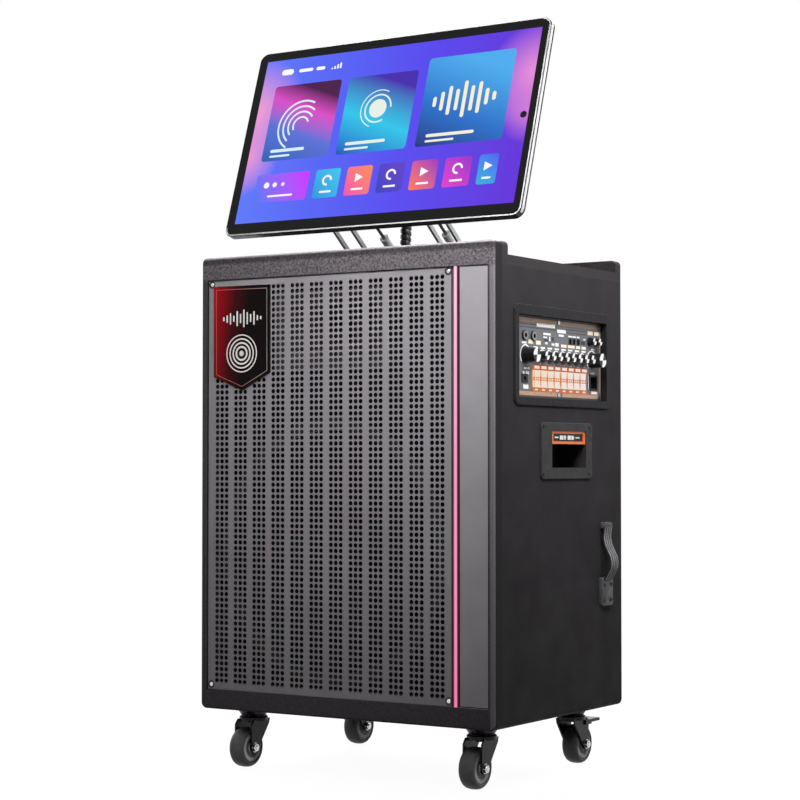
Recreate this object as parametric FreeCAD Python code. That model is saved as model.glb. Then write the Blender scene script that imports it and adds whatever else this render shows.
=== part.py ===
import FreeCAD, Part
import math
import os
from FreeCAD import Vector, Rotation, Placement

# Karaoke machine: a speaker cabinet on casters with a touchscreen that folds flat on its top.
# Millimetres, +Z up, front towards -Y, the control side towards +X, origin on the floor under the middle.

os.makedirs("parts", exist_ok=True)

# Driving dimensions
cabinet_width = 500.0
cabinet_depth = 372.0
cabinet_height = 660.0
caster_height = 86.0
board = 15.0
frame_depth = 18.0
cap_thickness = 14.0
lip_height = 18.0
lip_thickness = 16.0
front_border = 11.0
front_border_bottom = 28.0
front_border_top = 33.0
grille_share = 0.88
hole_pitch = 8.41
hole_radius = 3.1
screen_width = 510.0
screen_height = 306.0
screen_lean = 18.0
screen_thickness = 24.0
wheel_radius = 29.0
wheel_width = 24.0
caster_trail = 18.0

# Places that follow from them
half_width = cabinet_width / 2.0
half_depth = cabinet_depth / 2.0
underside = caster_height
lip_top = underside + cabinet_height
tray_floor = lip_top - lip_height
seam = tray_floor - cap_thickness
frame_back = -half_depth + frame_depth
rear_front = half_depth - board
fit = 0.3
running = 0.05


def keep(name, shape):
    shape.exportStep("parts/" + name + ".step")


def box(x0, x1, y0, y1, z0, z1):
    return Part.makeBox(x1 - x0, y1 - y0, z1 - z0, Vector(x0, y0, z0))


def rod(start, direction, radius, length):
    return Part.makeCylinder(radius, length, Vector(*start), Vector(*direction))


def group(solids):
    return Part.makeCompound(solids)


def joined(solids):
    whole = solids[0]
    for other in solids[1:]:
        whole = whole.fuse(other)
    return whole.removeSplitter()


def rounded_profile(x0, x1, z0, z1, low, high, y):
    # a rectangle in XZ with one corner radius below and another above
    points = []
    edges = []
    corners = [(x0, z0, low), (x1, z0, low), (x1, z1, high), (x0, z1, high)]
    turns = [(180, 270), (270, 360), (0, 90), (90, 180)]
    signs = [(1, 1), (-1, 1), (-1, -1), (1, -1)]
    for (x, z, r), (a, b), (sx, sz) in zip(corners, turns, signs):
        if r <= 0:
            points.append((Vector(x, y, z), Vector(x, y, z), None))
            continue
        cx = x + sx * r
        cz = z + sz * r
        spots = []
        for angle in (a, (a + b) / 2.0, b):
            t = math.radians(angle)
            spots.append(Vector(cx + r * math.cos(t), y, cz + r * math.sin(t)))
        points.append((spots[0], spots[2], spots[1]))
    for i, (first, last, middle) in enumerate(points):
        if middle is not None:
            edges.append(Part.Arc(first, middle, last).toShape())
        following = points[(i + 1) % 4][0]
        edges.append(Part.makeLine(last, following))
    return Part.Wire(edges)


def slab(x0, x1, z0, z1, low, high, y0, y1):
    return Part.Face(rounded_profile(x0, x1, z0, z1, low, high, y0)).extrude(Vector(0, y1 - y0, 0))


def rounded_block(x0, x1, y0, y1, z0, z1, r):
    # a block along X whose four long edges are rounded
    block = box(x0, x1, y0, y1, z0, z1)
    long_edges = [e for e in block.Edges if abs(e.BoundBox.XLength - (x1 - x0)) < 1e-6 and e.BoundBox.YLength < 1e-6]
    return block.makeFillet(r, long_edges)


# The front frame: a ring around the grille with a ledge that the grille and the trim panel lie on
corner_low = 9.0
corner_high = 7.0
grille_left = -half_width + front_border
grille_right_limit = half_width - front_border
opening_low = underside + front_border_bottom
opening_high = lip_top - front_border_top
grille_back = -half_depth + 4.0
frame_block = slab(-half_width, half_width, underside, lip_top, corner_low, corner_high, -half_depth, frame_back)
front_edges = [e for e in frame_block.Edges if e.BoundBox.YMax < -half_depth + 1e-6]
frame_block = frame_block.makeFillet(3.5, front_edges)
recess = box(grille_left, grille_right_limit, -half_depth - 1, grille_back, opening_low, opening_high)
grille_right = grille_left + grille_share * (grille_right_limit - grille_left)
ledge = 10.5
view = box(
    grille_left + ledge, grille_right - ledge + 1.0, -half_depth, frame_back + 1,
    opening_low + ledge, opening_high - ledge)
screw_spots = []
for x in (grille_left + 6.8, grille_right - 7.2):
    for z in (opening_low + 7.6, opening_high - 6.6):
        screw_spots.append((x, z))
front_frame = frame_block.cut(recess).cut(view)
for x, z in screw_spots:
    front_frame = front_frame.cut(rod((x, grille_back - 1, z), (0, 1, 0), 1.5, 9.0))
keep("front_frame", front_frame)

# The pierced grille: groups of three columns, with every fourth column left out.
# Each column's holes are drawn run together into eight long slots.
grille_low = opening_low + fit
grille_high = opening_high - fit
grille_x0 = grille_left + fit
grille_x1 = grille_right
grille_front = grille_back - 1.5
group_pitch = 4.0 * hole_pitch
groups = int((grille_x1 - grille_x0 - 14.0 + 2.0 * hole_pitch) / group_pitch)
rows = int((grille_high - grille_low - 17.0) / hole_pitch)
pattern_width = (groups - 1) * group_pitch + 2.0 * hole_pitch
pattern_height = (rows - 1) * hole_pitch
first_x = (grille_x0 + grille_x1 - pattern_width) / 2.0
first_z = (grille_low + grille_high - pattern_height) / 2.0
corners = [(grille_x0, grille_low), (grille_x1, grille_low), (grille_x1, grille_high), (grille_x0, grille_high)]
outline = Part.makePolygon([Vector(x, grille_front, z) for x, z in corners + corners[:1]])
slots_per_column = 8
slot_pitch = (pattern_height + hole_pitch) / slots_per_column
hole_wires = []
for g in range(groups):
    for c in range(3):
        x = first_x + g * group_pitch + c * hole_pitch
        for k in range(slots_per_column):
            low = first_z + k * slot_pitch - hole_radius
            high = low + slot_pitch - hole_pitch + 2.0 * hole_radius
            spots = [(x - hole_radius, low), (x + hole_radius, low), (x + hole_radius, high), (x - hole_radius, high)]
            hole_wires.append(Part.makePolygon([Vector(u, grille_front, v) for u, v in spots + spots[:1]]))
for x, z in screw_spots:
    hole_wires.append(Part.Wire(Part.makeCircle(1.7, Vector(x, grille_front, z), Vector(0, 1, 0))))
grille_face = Part.Face([outline] + hole_wires)
speaker_grille = grille_face.extrude(Vector(0, 1.5, 0))
keep("speaker_grille", speaker_grille)
print("grille groups", groups, "rows", rows)

# Light strip and plain trim panel to the right of the grille
strip_x0 = grille_x1 + 0.8
strip_x1 = strip_x0 + 7.0
trim_x0 = strip_x1 + 0.8
trim_x1 = grille_right_limit - fit
strip_block = box(strip_x0, strip_x1, grille_front - 0.6, grille_back, grille_low, grille_high)
strip_edges = [e for e in strip_block.Edges if e.BoundBox.ZLength > 100 and e.BoundBox.YMax < grille_front]
light_strip = strip_block.makeFillet(1.4, strip_edges)
keep("light_strip", light_strip)
trim_block = box(trim_x0, trim_x1, grille_front - 0.4, grille_back, grille_low, grille_high)
trim_edges = [e for e in trim_block.Edges if e.BoundBox.ZLength > 100 and e.BoundBox.YMax < grille_front]
trim_panel = trim_block.makeFillet(0.8, trim_edges)
keep("trim_panel", trim_panel)

# Dome-headed screws of the grille and flat-headed screws of the control plate
plate_face = half_width - 7.0
plate_thickness = 2.5
plate_back = plate_face - plate_thickness
panel_y0 = -half_depth + 59.5
panel_y1 = half_depth - 51.4
panel_width = panel_y1 - panel_y0
panel_middle = (panel_y0 + panel_y1) / 2.0
panel_high = seam - 64.5
panel_low = panel_high - 114.5
bright = []
for x, z in screw_spots:
    head = Part.makeSphere(4.2, Vector(x, grille_front + 2.4, z))
    head = head.common(box(x - 5, x + 5, grille_front - 3, grille_front, z - 5, z + 5))
    bright.append(joined([head, rod((x, grille_front - 0.2, z), (0, 1, 0), 1.45, 8.0)]))
plate_screws = []
for y in (panel_y0 + 7.0, panel_middle, panel_y1 - 7.0):
    for z in (panel_low + 6.0, panel_high - 6.0):
        plate_screws.append((y, z))
for y, z in plate_screws:
    head = rod((plate_face, y, z), (1, 0, 0), 3.0, 1.2)
    head = head.cut(box(plate_face + 0.6, plate_face + 2, y - 0.4, y + 0.4, z - 4, z + 4))
    bright.append(joined([head, rod((plate_face - 5.0, y, z), (1, 0, 0), 1.45, 5.2)]))
keep("bright_screws", group(bright))

# The glued carcass: two sides, floor and top boards, open to the front and the back
shell_outer = slab(-half_width, half_width, underside, seam, corner_low, 0, frame_back, rear_front)
inner_x = half_width - board
shell_inner = box(
    -inner_x, inner_x, frame_back - 1, rear_front + 1, underside + board, seam - board)
cabinet_shell = shell_outer.cut(shell_inner)
tub_wall = 3.0
tub_y0 = panel_y0 - tub_wall
tub_y1 = panel_y1 + tub_wall
tub_z0 = panel_low - tub_wall
tub_z1 = panel_high + tub_wall
cabinet_shell = cabinet_shell.cut(box(
    inner_x - 1, half_width + 1, tub_y0 - fit, tub_y1 + fit, tub_z0 - fit, tub_z1 + fit))
cup_y0 = -33.0
cup_y1 = 69.0
cup_high = panel_low - 45.0
cup_low = cup_high - 52.0
cup_wall = 2.5
cup_depth = 44.0
for side in (-1, 1):
    x0 = min(side * (inner_x - 1), side * (half_width + 1))
    x1 = max(side * (inner_x - 1), side * (half_width + 1))
    cabinet_shell = cabinet_shell.cut(box(
        x0, x1, cup_y0 - cup_wall - fit, cup_y1 + cup_wall + fit, cup_low - cup_wall - fit, cup_high + cup_wall + fit))
loom_y = -24.0
cabinet_shell = cabinet_shell.cut(rod((0, loom_y, seam - board - 1), (0, 0, 1), 11.0, board + 2))
keep("cabinet_shell", cabinet_shell)

# The moulded cap: a floor between a front lip and a back lip, open at both ends
cap_floor = box(-half_width, half_width, frame_back, half_depth, seam, tray_floor)
front_lip = slab(-half_width, half_width, seam, lip_top, 0, corner_high, frame_back, frame_back + lip_thickness)
back_lip = slab(-half_width, half_width, seam, lip_top, 0, corner_high, half_depth - lip_thickness, half_depth)
top_tray = joined([cap_floor, front_lip, back_lip])
top_tray = top_tray.cut(rod((0, loom_y, seam - 1), (0, 0, 1), 11.0, cap_thickness + 2))
keep("top_tray", top_tray)

rear_panel = slab(-half_width, half_width, underside, seam, corner_low, 0, rear_front, half_depth)
keep("rear_panel", rear_panel)

# Front baffle with the driver and horn openings
speaker_x = (grille_x0 + grille_x1) / 2.0
woofer_radius = 190.0
woofer_z = opening_low + ledge + woofer_radius + 4.0
horn_z = opening_high - ledge - 66.0
baffle_back = frame_back + board
front_baffle = box(
    -inner_x + fit, inner_x - fit, frame_back, baffle_back, underside + board + fit, seam - board - fit)
front_baffle = front_baffle.cut(rod((speaker_x, frame_back - 1, woofer_z), (0, 1, 0), woofer_radius - 12.0, board + 2))
front_baffle = front_baffle.cut(box(
    speaker_x - 88, speaker_x + 88, frame_back - 1, baffle_back + 1, horn_z - 44, horn_z + 44))
keep("front_baffle", front_baffle)


def turned(profile, x, z):
    # a profile of (radius, y) points turned about an axis along Y
    points = [Vector(x + r, y, z) for r, y in profile]
    face = Part.Face(Part.makePolygon(points + points[:1]))
    return face.revolve(Vector(x, 0, z), Vector(0, 1, 0), 360)


wr = woofer_radius
woofer_depth = woofer_radius * 0.674
magnet_radius = woofer_radius * 0.432
basket_profile = [
    (wr, frame_back - 5), (wr, frame_back), (wr - 12.5, frame_back), (wr - 14, frame_back + 24),
    (magnet_radius, frame_back + woofer_depth - 36), (magnet_radius, frame_back + woofer_depth),
    (0, frame_back + woofer_depth), (0, frame_back + woofer_depth - 32),
    (magnet_radius - 8, frame_back + woofer_depth - 40), (wr - 18, frame_back + 22), (wr - 17, frame_back - 5)]
keep("woofer_basket", turned(basket_profile, speaker_x, woofer_z))
coil_end = frame_back + woofer_depth - 44.0
neck = coil_end - 22.0
coil_radius = magnet_radius - 30.0
cone_profile = [
    (wr - 17.5, frame_back - 4), (wr - 17.5, frame_back - 1), (wr - 24, frame_back - 2.5), (wr - 34, frame_back - 2),
    (wr - 36, frame_back + 2), (coil_radius, neck), (coil_radius, coil_end), (coil_radius - 3, coil_end),
    (coil_radius - 3, neck), (coil_radius - 22, neck - 12), (0, neck - 17), (0, neck - 19),
    (coil_radius - 21, neck - 14), (coil_radius - 1, neck - 4), (wr - 36, frame_back - 1),
    (wr - 34, frame_back - 4.5), (wr - 24, frame_back - 5)]
keep("woofer_cone", turned(cone_profile, speaker_x, woofer_z))


def horn_section(wide, tall, y):
    return Part.makePolygon([
        Vector(speaker_x - wide, y, horn_z - tall), Vector(speaker_x + wide, y, horn_z - tall),
        Vector(speaker_x + wide, y, horn_z + tall), Vector(speaker_x - wide, y, horn_z + tall),
        Vector(speaker_x - wide, y, horn_z - tall)])


horn_outer = Part.makeLoft([horn_section(86, 42, frame_back), horn_section(20, 18, frame_back + 78)], True, True)
horn_flange = box(speaker_x - 100, speaker_x + 100, frame_back - 4, frame_back, horn_z - 56, horn_z + 56)
horn_inner = Part.makeLoft([horn_section(83, 39, frame_back - 4.1), horn_section(13, 13, frame_back + 79)], True, True)
horn = joined([horn_outer, horn_flange]).cut(horn_inner)
driver = rod((speaker_x, frame_back + 78, horn_z), (0, 1, 0), 42, 38)
keep("tweeter_horn", group([horn, driver]))

battery_pack = rounded_block(-70, 110, 20, 120, underside + board, underside + board + 95, 4)
keep("battery_pack", battery_pack)

# Control panel: recessed surround, plate, sockets, amplifier with its potentiometers
flange = 11.0
outer_block = rounded_block(
    half_width, half_width + 3.0, panel_y0 - flange, panel_y1 + flange, panel_low - flange, panel_high + flange + 3.0, 10)
rim_edges = [e for e in outer_block.Edges if e.BoundBox.XMin > half_width + 3.0 - 1e-6]
outer_block = outer_block.makeFillet(2.0, rim_edges)
tub = box(plate_back - 3.0, half_width + 0.5, tub_y0, tub_y1, tub_z0, tub_z1)
control_surround = joined([outer_block, tub])
control_surround = control_surround.cut(box(
    plate_back, half_width + 4, panel_y0, panel_y1, panel_low, panel_high))
control_surround = control_surround.cut(box(
    plate_back - 4, plate_back + 1, panel_y0 + 12, panel_y1 - 12, panel_low + 11, panel_high - 11))
for y, z in plate_screws:
    control_surround = control_surround.cut(rod((plate_back - 4, y, z), (1, 0, 0), 1.5, 5))
keep("control_surround", control_surround)

column_pitch = panel_width * 0.0758
key_pitch = panel_width * 0.0747
end_reach = panel_width * 0.378
row_middle = panel_middle + 3.0
knob_z = panel_low + 59.0
columns = [row_middle + (i - 3.5) * column_pitch for i in range(8)]
key_columns = [panel_middle + (i - 3.5) * key_pitch for i in range(8)]
knobs = []
small_knob = column_pitch * 0.348
large_knob = column_pitch * 0.547
upper_knob = column_pitch * 0.299
long_grip = 18.0
short_grip = 8.6
knobs.append(("knob_large_front", row_middle - end_reach, knob_z, large_knob, long_grip))
for i, y in enumerate(columns):
    knobs.append(("knob_small_%d" % (i + 1), y, knob_z, small_knob, long_grip))
knobs.append(("knob_large_back", row_middle + end_reach, knob_z, large_knob, long_grip))
upper_z = panel_low + 86.5
knobs.append(("knob_upper_1", panel_middle + panel_width * 0.3617, upper_z, upper_knob, short_grip))
knobs.append(("knob_upper_2", panel_middle + panel_width * 0.4295, upper_z, upper_knob, short_grip))
key_middle = panel_low + 27.0
key_half = 12.0
pin_reach = 1.6
key_wide = key_pitch - 5.6
key_flange = key_pitch - 1.2
key_lift = 1.3
jacks = [(panel_middle - end_reach, upper_z), (panel_middle - panel_width * 0.2834, upper_z)]
slot_z = upper_z - 2.5
slots = [(panel_middle + panel_width * share, slot_z) for share in (0.1339, 0.1783, 0.2277)]
inlet_y = panel_y1 - 25.25
inlet_z = panel_low + 27.0
small_socket_y = panel_middle - end_reach
small_socket_z = panel_low + 27.0

control_plate = box(
    plate_back, plate_face, panel_y0 + fit, panel_y1 - fit, panel_low + fit, panel_high - fit)
for y, z in plate_screws:
    control_plate = control_plate.cut(rod((plate_back - 1, y, z), (1, 0, 0), 1.5, 5))
for name, y, z, r, grip_length in knobs:
    control_plate = control_plate.cut(rod((plate_back - 1, y, z), (1, 0, 0), 3.0 + running, 5))
key_pin_x = plate_face - plate_thickness / 2.0
for y in key_columns:
    control_plate = control_plate.cut(box(
        plate_back - 1, plate_face + 1, y - key_wide / 2 - 0.5, y + key_wide / 2 + 0.5,
        key_middle - key_half + 0.3, key_middle + key_half - 0.3))
    control_plate = control_plate.cut(rod(
        (key_pin_x, y - key_wide / 2 - pin_reach - fit, key_middle), (0, 1, 0), 0.8 + running,
        key_wide + 2 * pin_reach + 2 * fit))
for y, z in jacks:
    control_plate = control_plate.cut(rod((plate_back - 1, y, z), (1, 0, 0), 5.6, 5))
for y, z in slots:
    control_plate = control_plate.cut(box(plate_back - 1, plate_face + 1, y - 4.1, y + 4.1, z - 4.6, z + 4.6))
control_plate = control_plate.cut(box(
    plate_back - 1, plate_face + 1, inlet_y - 12.1, inlet_y + 12.1, inlet_z - 11.1, inlet_z + 11.1))
control_plate = control_plate.cut(box(
    plate_back - 1, plate_face + 1, small_socket_y - 8.1, small_socket_y + 8.1, small_socket_z - 6.1, small_socket_z + 6.1))
keep("control_plate", control_plate)

jack_bore = 3.25
sockets = []
for y, z in jacks:
    barrel = rod((plate_face - 12, y, z), (1, 0, 0), 5.5, 12)
    nut = rod((plate_face, y, z), (1, 0, 0), 7.0, 2.5)
    nut = nut.makeChamfer(0.7, [e for e in nut.Edges if e.BoundBox.XMin > plate_face + 2.4 and e.Length > 10])
    jack = joined([barrel, nut]).cut(rod((plate_face - 11, y, z), (1, 0, 0), jack_bore, 20))
    sockets.append(jack)
for y, z in slots:
    shell = box(plate_face - 9, plate_face + 0.8, y - 4, y + 4, z - 4.5, z + 4.5)
    sockets.append(shell.cut(box(plate_face - 8, plate_face + 1, y - 2.6, y + 2.6, z - 3.2, z + 3.2)))
inlet = box(plate_face - 11, plate_face + 1.6, inlet_y - 12, inlet_y + 12, inlet_z - 11, inlet_z + 11)
inlet = inlet.cut(box(plate_face - 9.5, plate_face + 2, inlet_y - 9.5, inlet_y + 9.5, inlet_z - 8.5, inlet_z + 8.5))
inlet_pins = []
for y, z in ((inlet_y - 5, inlet_z - 2.5), (inlet_y, inlet_z + 3), (inlet_y + 5, inlet_z - 2.5)):
    inlet_pins.append(box(plate_face - 10, plate_face - 4, y - 0.9, y + 0.9, z - 2, z + 2))
sockets.append(joined([inlet] + inlet_pins))
small_socket = box(
    plate_face - 9, plate_face + 1.0, small_socket_y - 8, small_socket_y + 8, small_socket_z - 6, small_socket_z + 6)
small_socket = small_socket.cut(rod((plate_face - 7, small_socket_y, small_socket_z), (1, 0, 0), 3.2, 10))
sockets.append(small_socket)
keep("panel_sockets", group(sockets))

amp_face = plate_face - 14.0
amp_box = box(amp_face - 46, amp_face, panel_y0 + 14, panel_y1 - 14, panel_low + 12.5, panel_high - 12.5)
amplifier = [amp_box]
for i in range(9):
    y = panel_y0 + 24 + i * (panel_width - 50.5) / 8.0
    amplifier.append(box(amp_face - 66, amp_face - 46, y, y + 2.5, panel_low + 12.5, panel_high - 12.5))
amplifier = [joined(amplifier)]
for name, y, z, r, grip_length in knobs:
    pot = rod((amp_face, y, z), (1, 0, 0), 5.5, 11.0)
    amplifier.append(pot.cut(rod((amp_face + 1.0, y, z), (1, 0, 0), 3.0 + running, 12.0)))
keep("amplifier_module", group(amplifier))

for name, y, z, r, grip_length in knobs:
    stem = rod((amp_face + 1.5, y, z), (1, 0, 0), 3.0, plate_face + 2.0 - amp_face - 1.5)
    skirt = rod((plate_face + 0.5, y, z), (1, 0, 0), r + 0.9, 2.0)
    grip = Part.makeCone(r, r - 0.9, grip_length, Vector(plate_face + 0.5, y, z), Vector(1, 0, 0))
    knob = joined([skirt, grip, stem])
    for k in range(10):
        t = math.radians(18.0 + 36.0 * k)
        flute = rod((plate_face + 3.0, y + (r + 0.2) * math.cos(t), z + (r + 0.2) * math.sin(t)), (1, 0, 0), 0.8, grip_length)
        knob = knob.cut(flute)
    knob = knob.cut(box(plate_face + grip_length - 0.2, plate_face + grip_length + 2.0, y - 0.5, y + 0.5, z + 0.2 * r, z + r))
    keep(name, knob)

for i, y in enumerate(key_columns):
    front = plate_face + 3.2
    outline = [
        (plate_face + key_lift, key_middle - key_half), (front + 0.6, key_middle - key_half), (front, key_middle - 2.5),
        (front - 1.4, key_middle - 1.5), (front - 1.4, key_middle + 1.5), (front, key_middle + 2.5),
        (front + 0.6, key_middle + key_half), (plate_face + key_lift, key_middle + key_half)]
    points = [Vector(x, y - key_flange / 2, z) for x, z in outline]
    cap = Part.Face(Part.makePolygon(points + points[:1])).extrude(Vector(0, key_flange, 0))
    body = box(
        plate_back - 0.5, plate_face + key_lift, y - key_wide / 2, y + key_wide / 2,
        key_middle - key_half + 1.0, key_middle + key_half - 1.0)
    key = joined([cap, body])
    pin = rod((key_pin_x, y - key_wide / 2 - pin_reach, key_middle), (0, 1, 0), 0.8, key_wide + 2 * pin_reach)
    keep("key_%d" % (i + 1), joined([key, pin]))

# Recessed hand cups on both sides and the insert of the right one
cup_flange_y = (31.0, 19.5)
cup_flange_z = (16.0, 12.0)
cups = []
for side in (-1, 1):
    rim = rounded_block(
        half_width, half_width + 3.0, cup_y0 - cup_flange_y[0], cup_y1 + cup_flange_y[1],
        cup_low - cup_flange_z[0], cup_high + cup_flange_z[1], 7)
    rim_edges = [e for e in rim.Edges if e.BoundBox.XMin > half_width + 3.0 - 1e-6]
    rim = rim.makeFillet(1.8, rim_edges)
    tub = box(
        half_width - cup_depth - cup_wall, half_width + 0.5, cup_y0 - cup_wall, cup_y1 + cup_wall,
        cup_low - cup_wall, cup_high + cup_wall)
    cup = joined([rim, tub]).cut(box(
        half_width - cup_depth, half_width + 5, cup_y0, cup_y1, cup_low, cup_high))
    if side < 0:
        cup = cup.mirror(Vector(0, 0, 0), Vector(1, 0, 0))
    cups.append(cup)
keep("handle_cups", group(cups))
insert_low = cup_high - 18.4
cup_insert = box(half_width - 6, half_width + 1.5, cup_y0, cup_y1, insert_low, cup_high)
cup_insert = cup_insert.cut(box(
    half_width - 0.5, half_width + 2, cup_y0 + 6, cup_y1 - 6, insert_low + 3.5, cup_high - 3.5))
keep("cup_insert", cup_insert)

# Ribbed strap handles near the back edge of both sides
strap_y0 = half_depth - 68.0
strap_y1 = half_depth - 42.0
strap_low = underside + 192.0
strap_high = underside + 268.0
straps = []
arc_points = []
for k in range(25):
    t = k / 24.0
    z = strap_low - 12 + t * (strap_high - strap_low + 10)
    bulge = 18.0 * math.sin(math.pi * t ** 0.7) ** 0.9
    arc_points.append((half_width + 1.5 + bulge, z))
for side in (-1, 1):
    curve = Part.BSplineCurve()
    curve.interpolate([Vector(x, strap_y0, z) for x, z in arc_points[::4]])
    outer = Part.BSplineCurve()
    outer.interpolate([Vector(x + 4.0, strap_y0, z) for x, z in arc_points[::4]])
    ends = [
        Part.makeLine(curve.EndPoint, outer.EndPoint),
        Part.makeLine(outer.StartPoint, curve.StartPoint)]
    loop = Part.Wire([curve.toShape(), ends[0], outer.toShape(), ends[1]])
    band = Part.Face(loop).extrude(Vector(0, strap_y1 - strap_y0, 0))
    for k in range(3):
        y = strap_y0 + 6.5 * (k + 1)
        groove = Part.BSplineCurve()
        groove.interpolate([Vector(x + 2.8, y - 1.1, z) for x, z in arc_points[::4]])
        over = Part.BSplineCurve()
        over.interpolate([Vector(x + 9.0, y - 1.1, z) for x, z in arc_points[::4]])
        links = [
            Part.makeLine(groove.EndPoint, over.EndPoint),
            Part.makeLine(over.StartPoint, groove.StartPoint)]
        cutter = Part.Face(Part.Wire([groove.toShape(), links[0], over.toShape(), links[1]])).extrude(Vector(0, 2.2, 0))
        band = band.cut(cutter)
    low_plate = rounded_block(half_width, half_width + 6, strap_y0 - 6.5, strap_y1 + 6.5, strap_low - 42, strap_low, 3)
    high_plate = rounded_block(half_width, half_width + 6, strap_y0 - 2, strap_y1 + 2, strap_high - 8, strap_high + 5, 3)
    strap = joined([band, low_plate, high_plate])
    if side < 0:
        strap = strap.mirror(Vector(0, 0, 0), Vector(1, 0, 0))
    straps.append(strap)
keep("strap_handles", group(straps))

# Casters: a fixed plate with its race and king pin, a fork with its axle bolt, a wheel, a pedal behind
caster_x = half_width - 55.0
caster_y = half_depth - 56.0
axle_radius = 4.0
pin_radius = 5.0
fork_top = underside - 12.5
plates = []
for sx in (-1, 1):
    for sy in (-1, 1):
        cx = sx * caster_x
        cy = sy * caster_y
        plate = box(cx - 30, cx + 30, cy - 30, cy + 30, underside - 3, underside)
        race = Part.makeCone(18, 24, 9.0, Vector(cx, cy, underside - 12), Vector(0, 0, 1))
        pin = rod((cx, cy, fork_top - 10), (0, 0, 1), pin_radius, 12)
        head = rod((cx, cy, fork_top - 10.3), (0, 0, 1), 8.5, 3.0)
        plates.append(joined([plate, race, pin, head]))
keep("caster_plates", group(plates))

leg_gap = wheel_width / 2.0 + 1.2
leg_thick = 2.6
hub_z = wheel_radius
for end, sy in (("front", -1), ("rear", 1)):
    for hand, sx in (("left", -1), ("right", 1)):
        cx = sx * caster_x
        cy = sy * caster_y
        wy = cy + sy * caster_trail
        label = end + "_" + hand
        crown = rod((cx, cy, fork_top - 7.0), (0, 0, 1), 21.0, 6.7)
        crown = crown.makeFillet(2.5, [e for e in crown.Edges if e.BoundBox.ZMin > fork_top - 0.31 and e.Length > 50])
        crown = crown.cut(rod((cx, cy, fork_top - 8), (0, 0, 1), pin_radius + running, 10))
        fork = crown
        legs = []
        for s in (-1, 1):
            x0 = cx + s * leg_gap if s > 0 else cx - leg_gap - leg_thick
            points = [
                (cy - sy * 19.0, fork_top - 0.6 - 4.0), (cy - sy * 17.0, fork_top - 12.0), (wy - sy * 8.0, hub_z - 3.0),
                (wy - sy * 4.0, hub_z - 8.0), (wy + sy * 4.0, hub_z - 8.0), (wy + sy * 8.0, hub_z - 3.0),
                (wy + sy * 7.0, fork_top - 12.0), (wy + sy * 1.0, fork_top - 4.6)]
            spots = [Vector(x0, y, z) for y, z in points]
            leg = Part.Face(Part.makePolygon(spots + spots[:1])).extrude(Vector(leg_thick, 0, 0))
            legs.append(leg)
        fork = joined([crown] + legs)
        fork = fork.cut(rod((cx - 30, wy, hub_z), (1, 0, 0), axle_radius, 60))
        reach = leg_gap + leg_thick
        bolt = rod((cx - reach - 1.0, wy, hub_z), (1, 0, 0), axle_radius, 2 * reach + 2.0)
        cap_one = rod((cx - reach - 3.6, wy, hub_z), (1, 0, 0), 6.0, 3.4)
        cap_two = rod((cx + reach + 0.2, wy, hub_z), (1, 0, 0), 6.0, 3.4)
        if end == "rear":
            ear_y = wy + 4.0
            ear_z = fork_top - 6.0
            fork = fork.cut(rod((cx - 30, ear_y - 6.0, ear_z - 6.0), (1, 0, 0), 1.6 + running, 60))
        keep("fork_" + label, group([fork, joined([bolt, cap_one, cap_two])]))
        half = wheel_width / 2.0
        rim = wheel_radius
        profile = [
            (axle_radius + running, -half + 0.4), (9.0, -half + 0.4), (10.0, -half + 3.0), (17.5, -half + 3.0),
            (18.5, -half + 0.8), (rim - 5.0, -half), (rim - 1.6, -half + 2.2), (rim, -half + 6.5),
            (rim, half - 6.5), (rim - 1.6, half - 2.2), (rim - 5.0, half), (18.5, half - 0.8),
            (17.5, half - 3.0), (10.0, half - 3.0), (9.0, half - 0.4), (axle_radius + running, half - 0.4)]
        points = [Vector(cx + x, wy, hub_z + r) for r, x in profile]
        wheel = Part.Face(Part.makePolygon(points + points[:1]))
        wheel = wheel.revolve(Vector(cx, wy, hub_z), Vector(1, 0, 0), 360)
        keep("wheel_" + label, wheel)
        if end == "rear":
            py = ear_y - 6.0
            pz = ear_z - 6.0
            pivot = rod((cx - reach - 1.5, py, pz), (1, 0, 0), 1.6, 2 * reach + 3.0)
            out = reach + 0.6
            arms = []
            for s in (-1, 1):
                x0 = cx + s * out if s > 0 else cx - out - 2.0
                arms.append(box(x0, x0 + 2.0, py - 4.0, py + 14.0, pz - 3.5, pz + 3.5))
            tread = box(cx - out - 2.0, cx + out + 2.0, py + 12.0, half_depth - 0.5, pz - 1.0, pz + 3.5)
            stub = rod((cx - out - 2.0, py, pz), (1, 0, 0), 1.6, 2 * out + 4.0)
            pedal = joined(arms + [tread, stub])
            keep("pedal_" + hand, pedal)

# Screen: everything is drawn upright at the origin, then leaned back and set in place
lean = math.radians(screen_lean)
screen_y = -half_depth + 59.0
screen_z = tray_floor + 55.7
set_screen = Placement(Vector(0, screen_y, screen_z), Rotation(Vector(1, 0, 0), -screen_lean))
hinge_back = 34.0
hinge_up = 35.7
strut_up = 69.0
pivot_low_y = 3.7
pivot_low_z = tray_floor + 12.0
strut_low_y = 66.4
pivot_high = set_screen.multVec(Vector(0, hinge_back, hinge_up))
strut_high = set_screen.multVec(Vector(0, hinge_back, strut_up))
print("pivot low", pivot_low_y, pivot_low_z, "pivot high", pivot_high, "strut high", strut_high)


def placed(shape):
    moved = shape.copy()
    moved.Placement = set_screen
    return moved


def upright(x0, x1, y0, y1, z0, z1, r):
    return slab(x0, x1, z0, z1, r, r, y0, y1)


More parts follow.
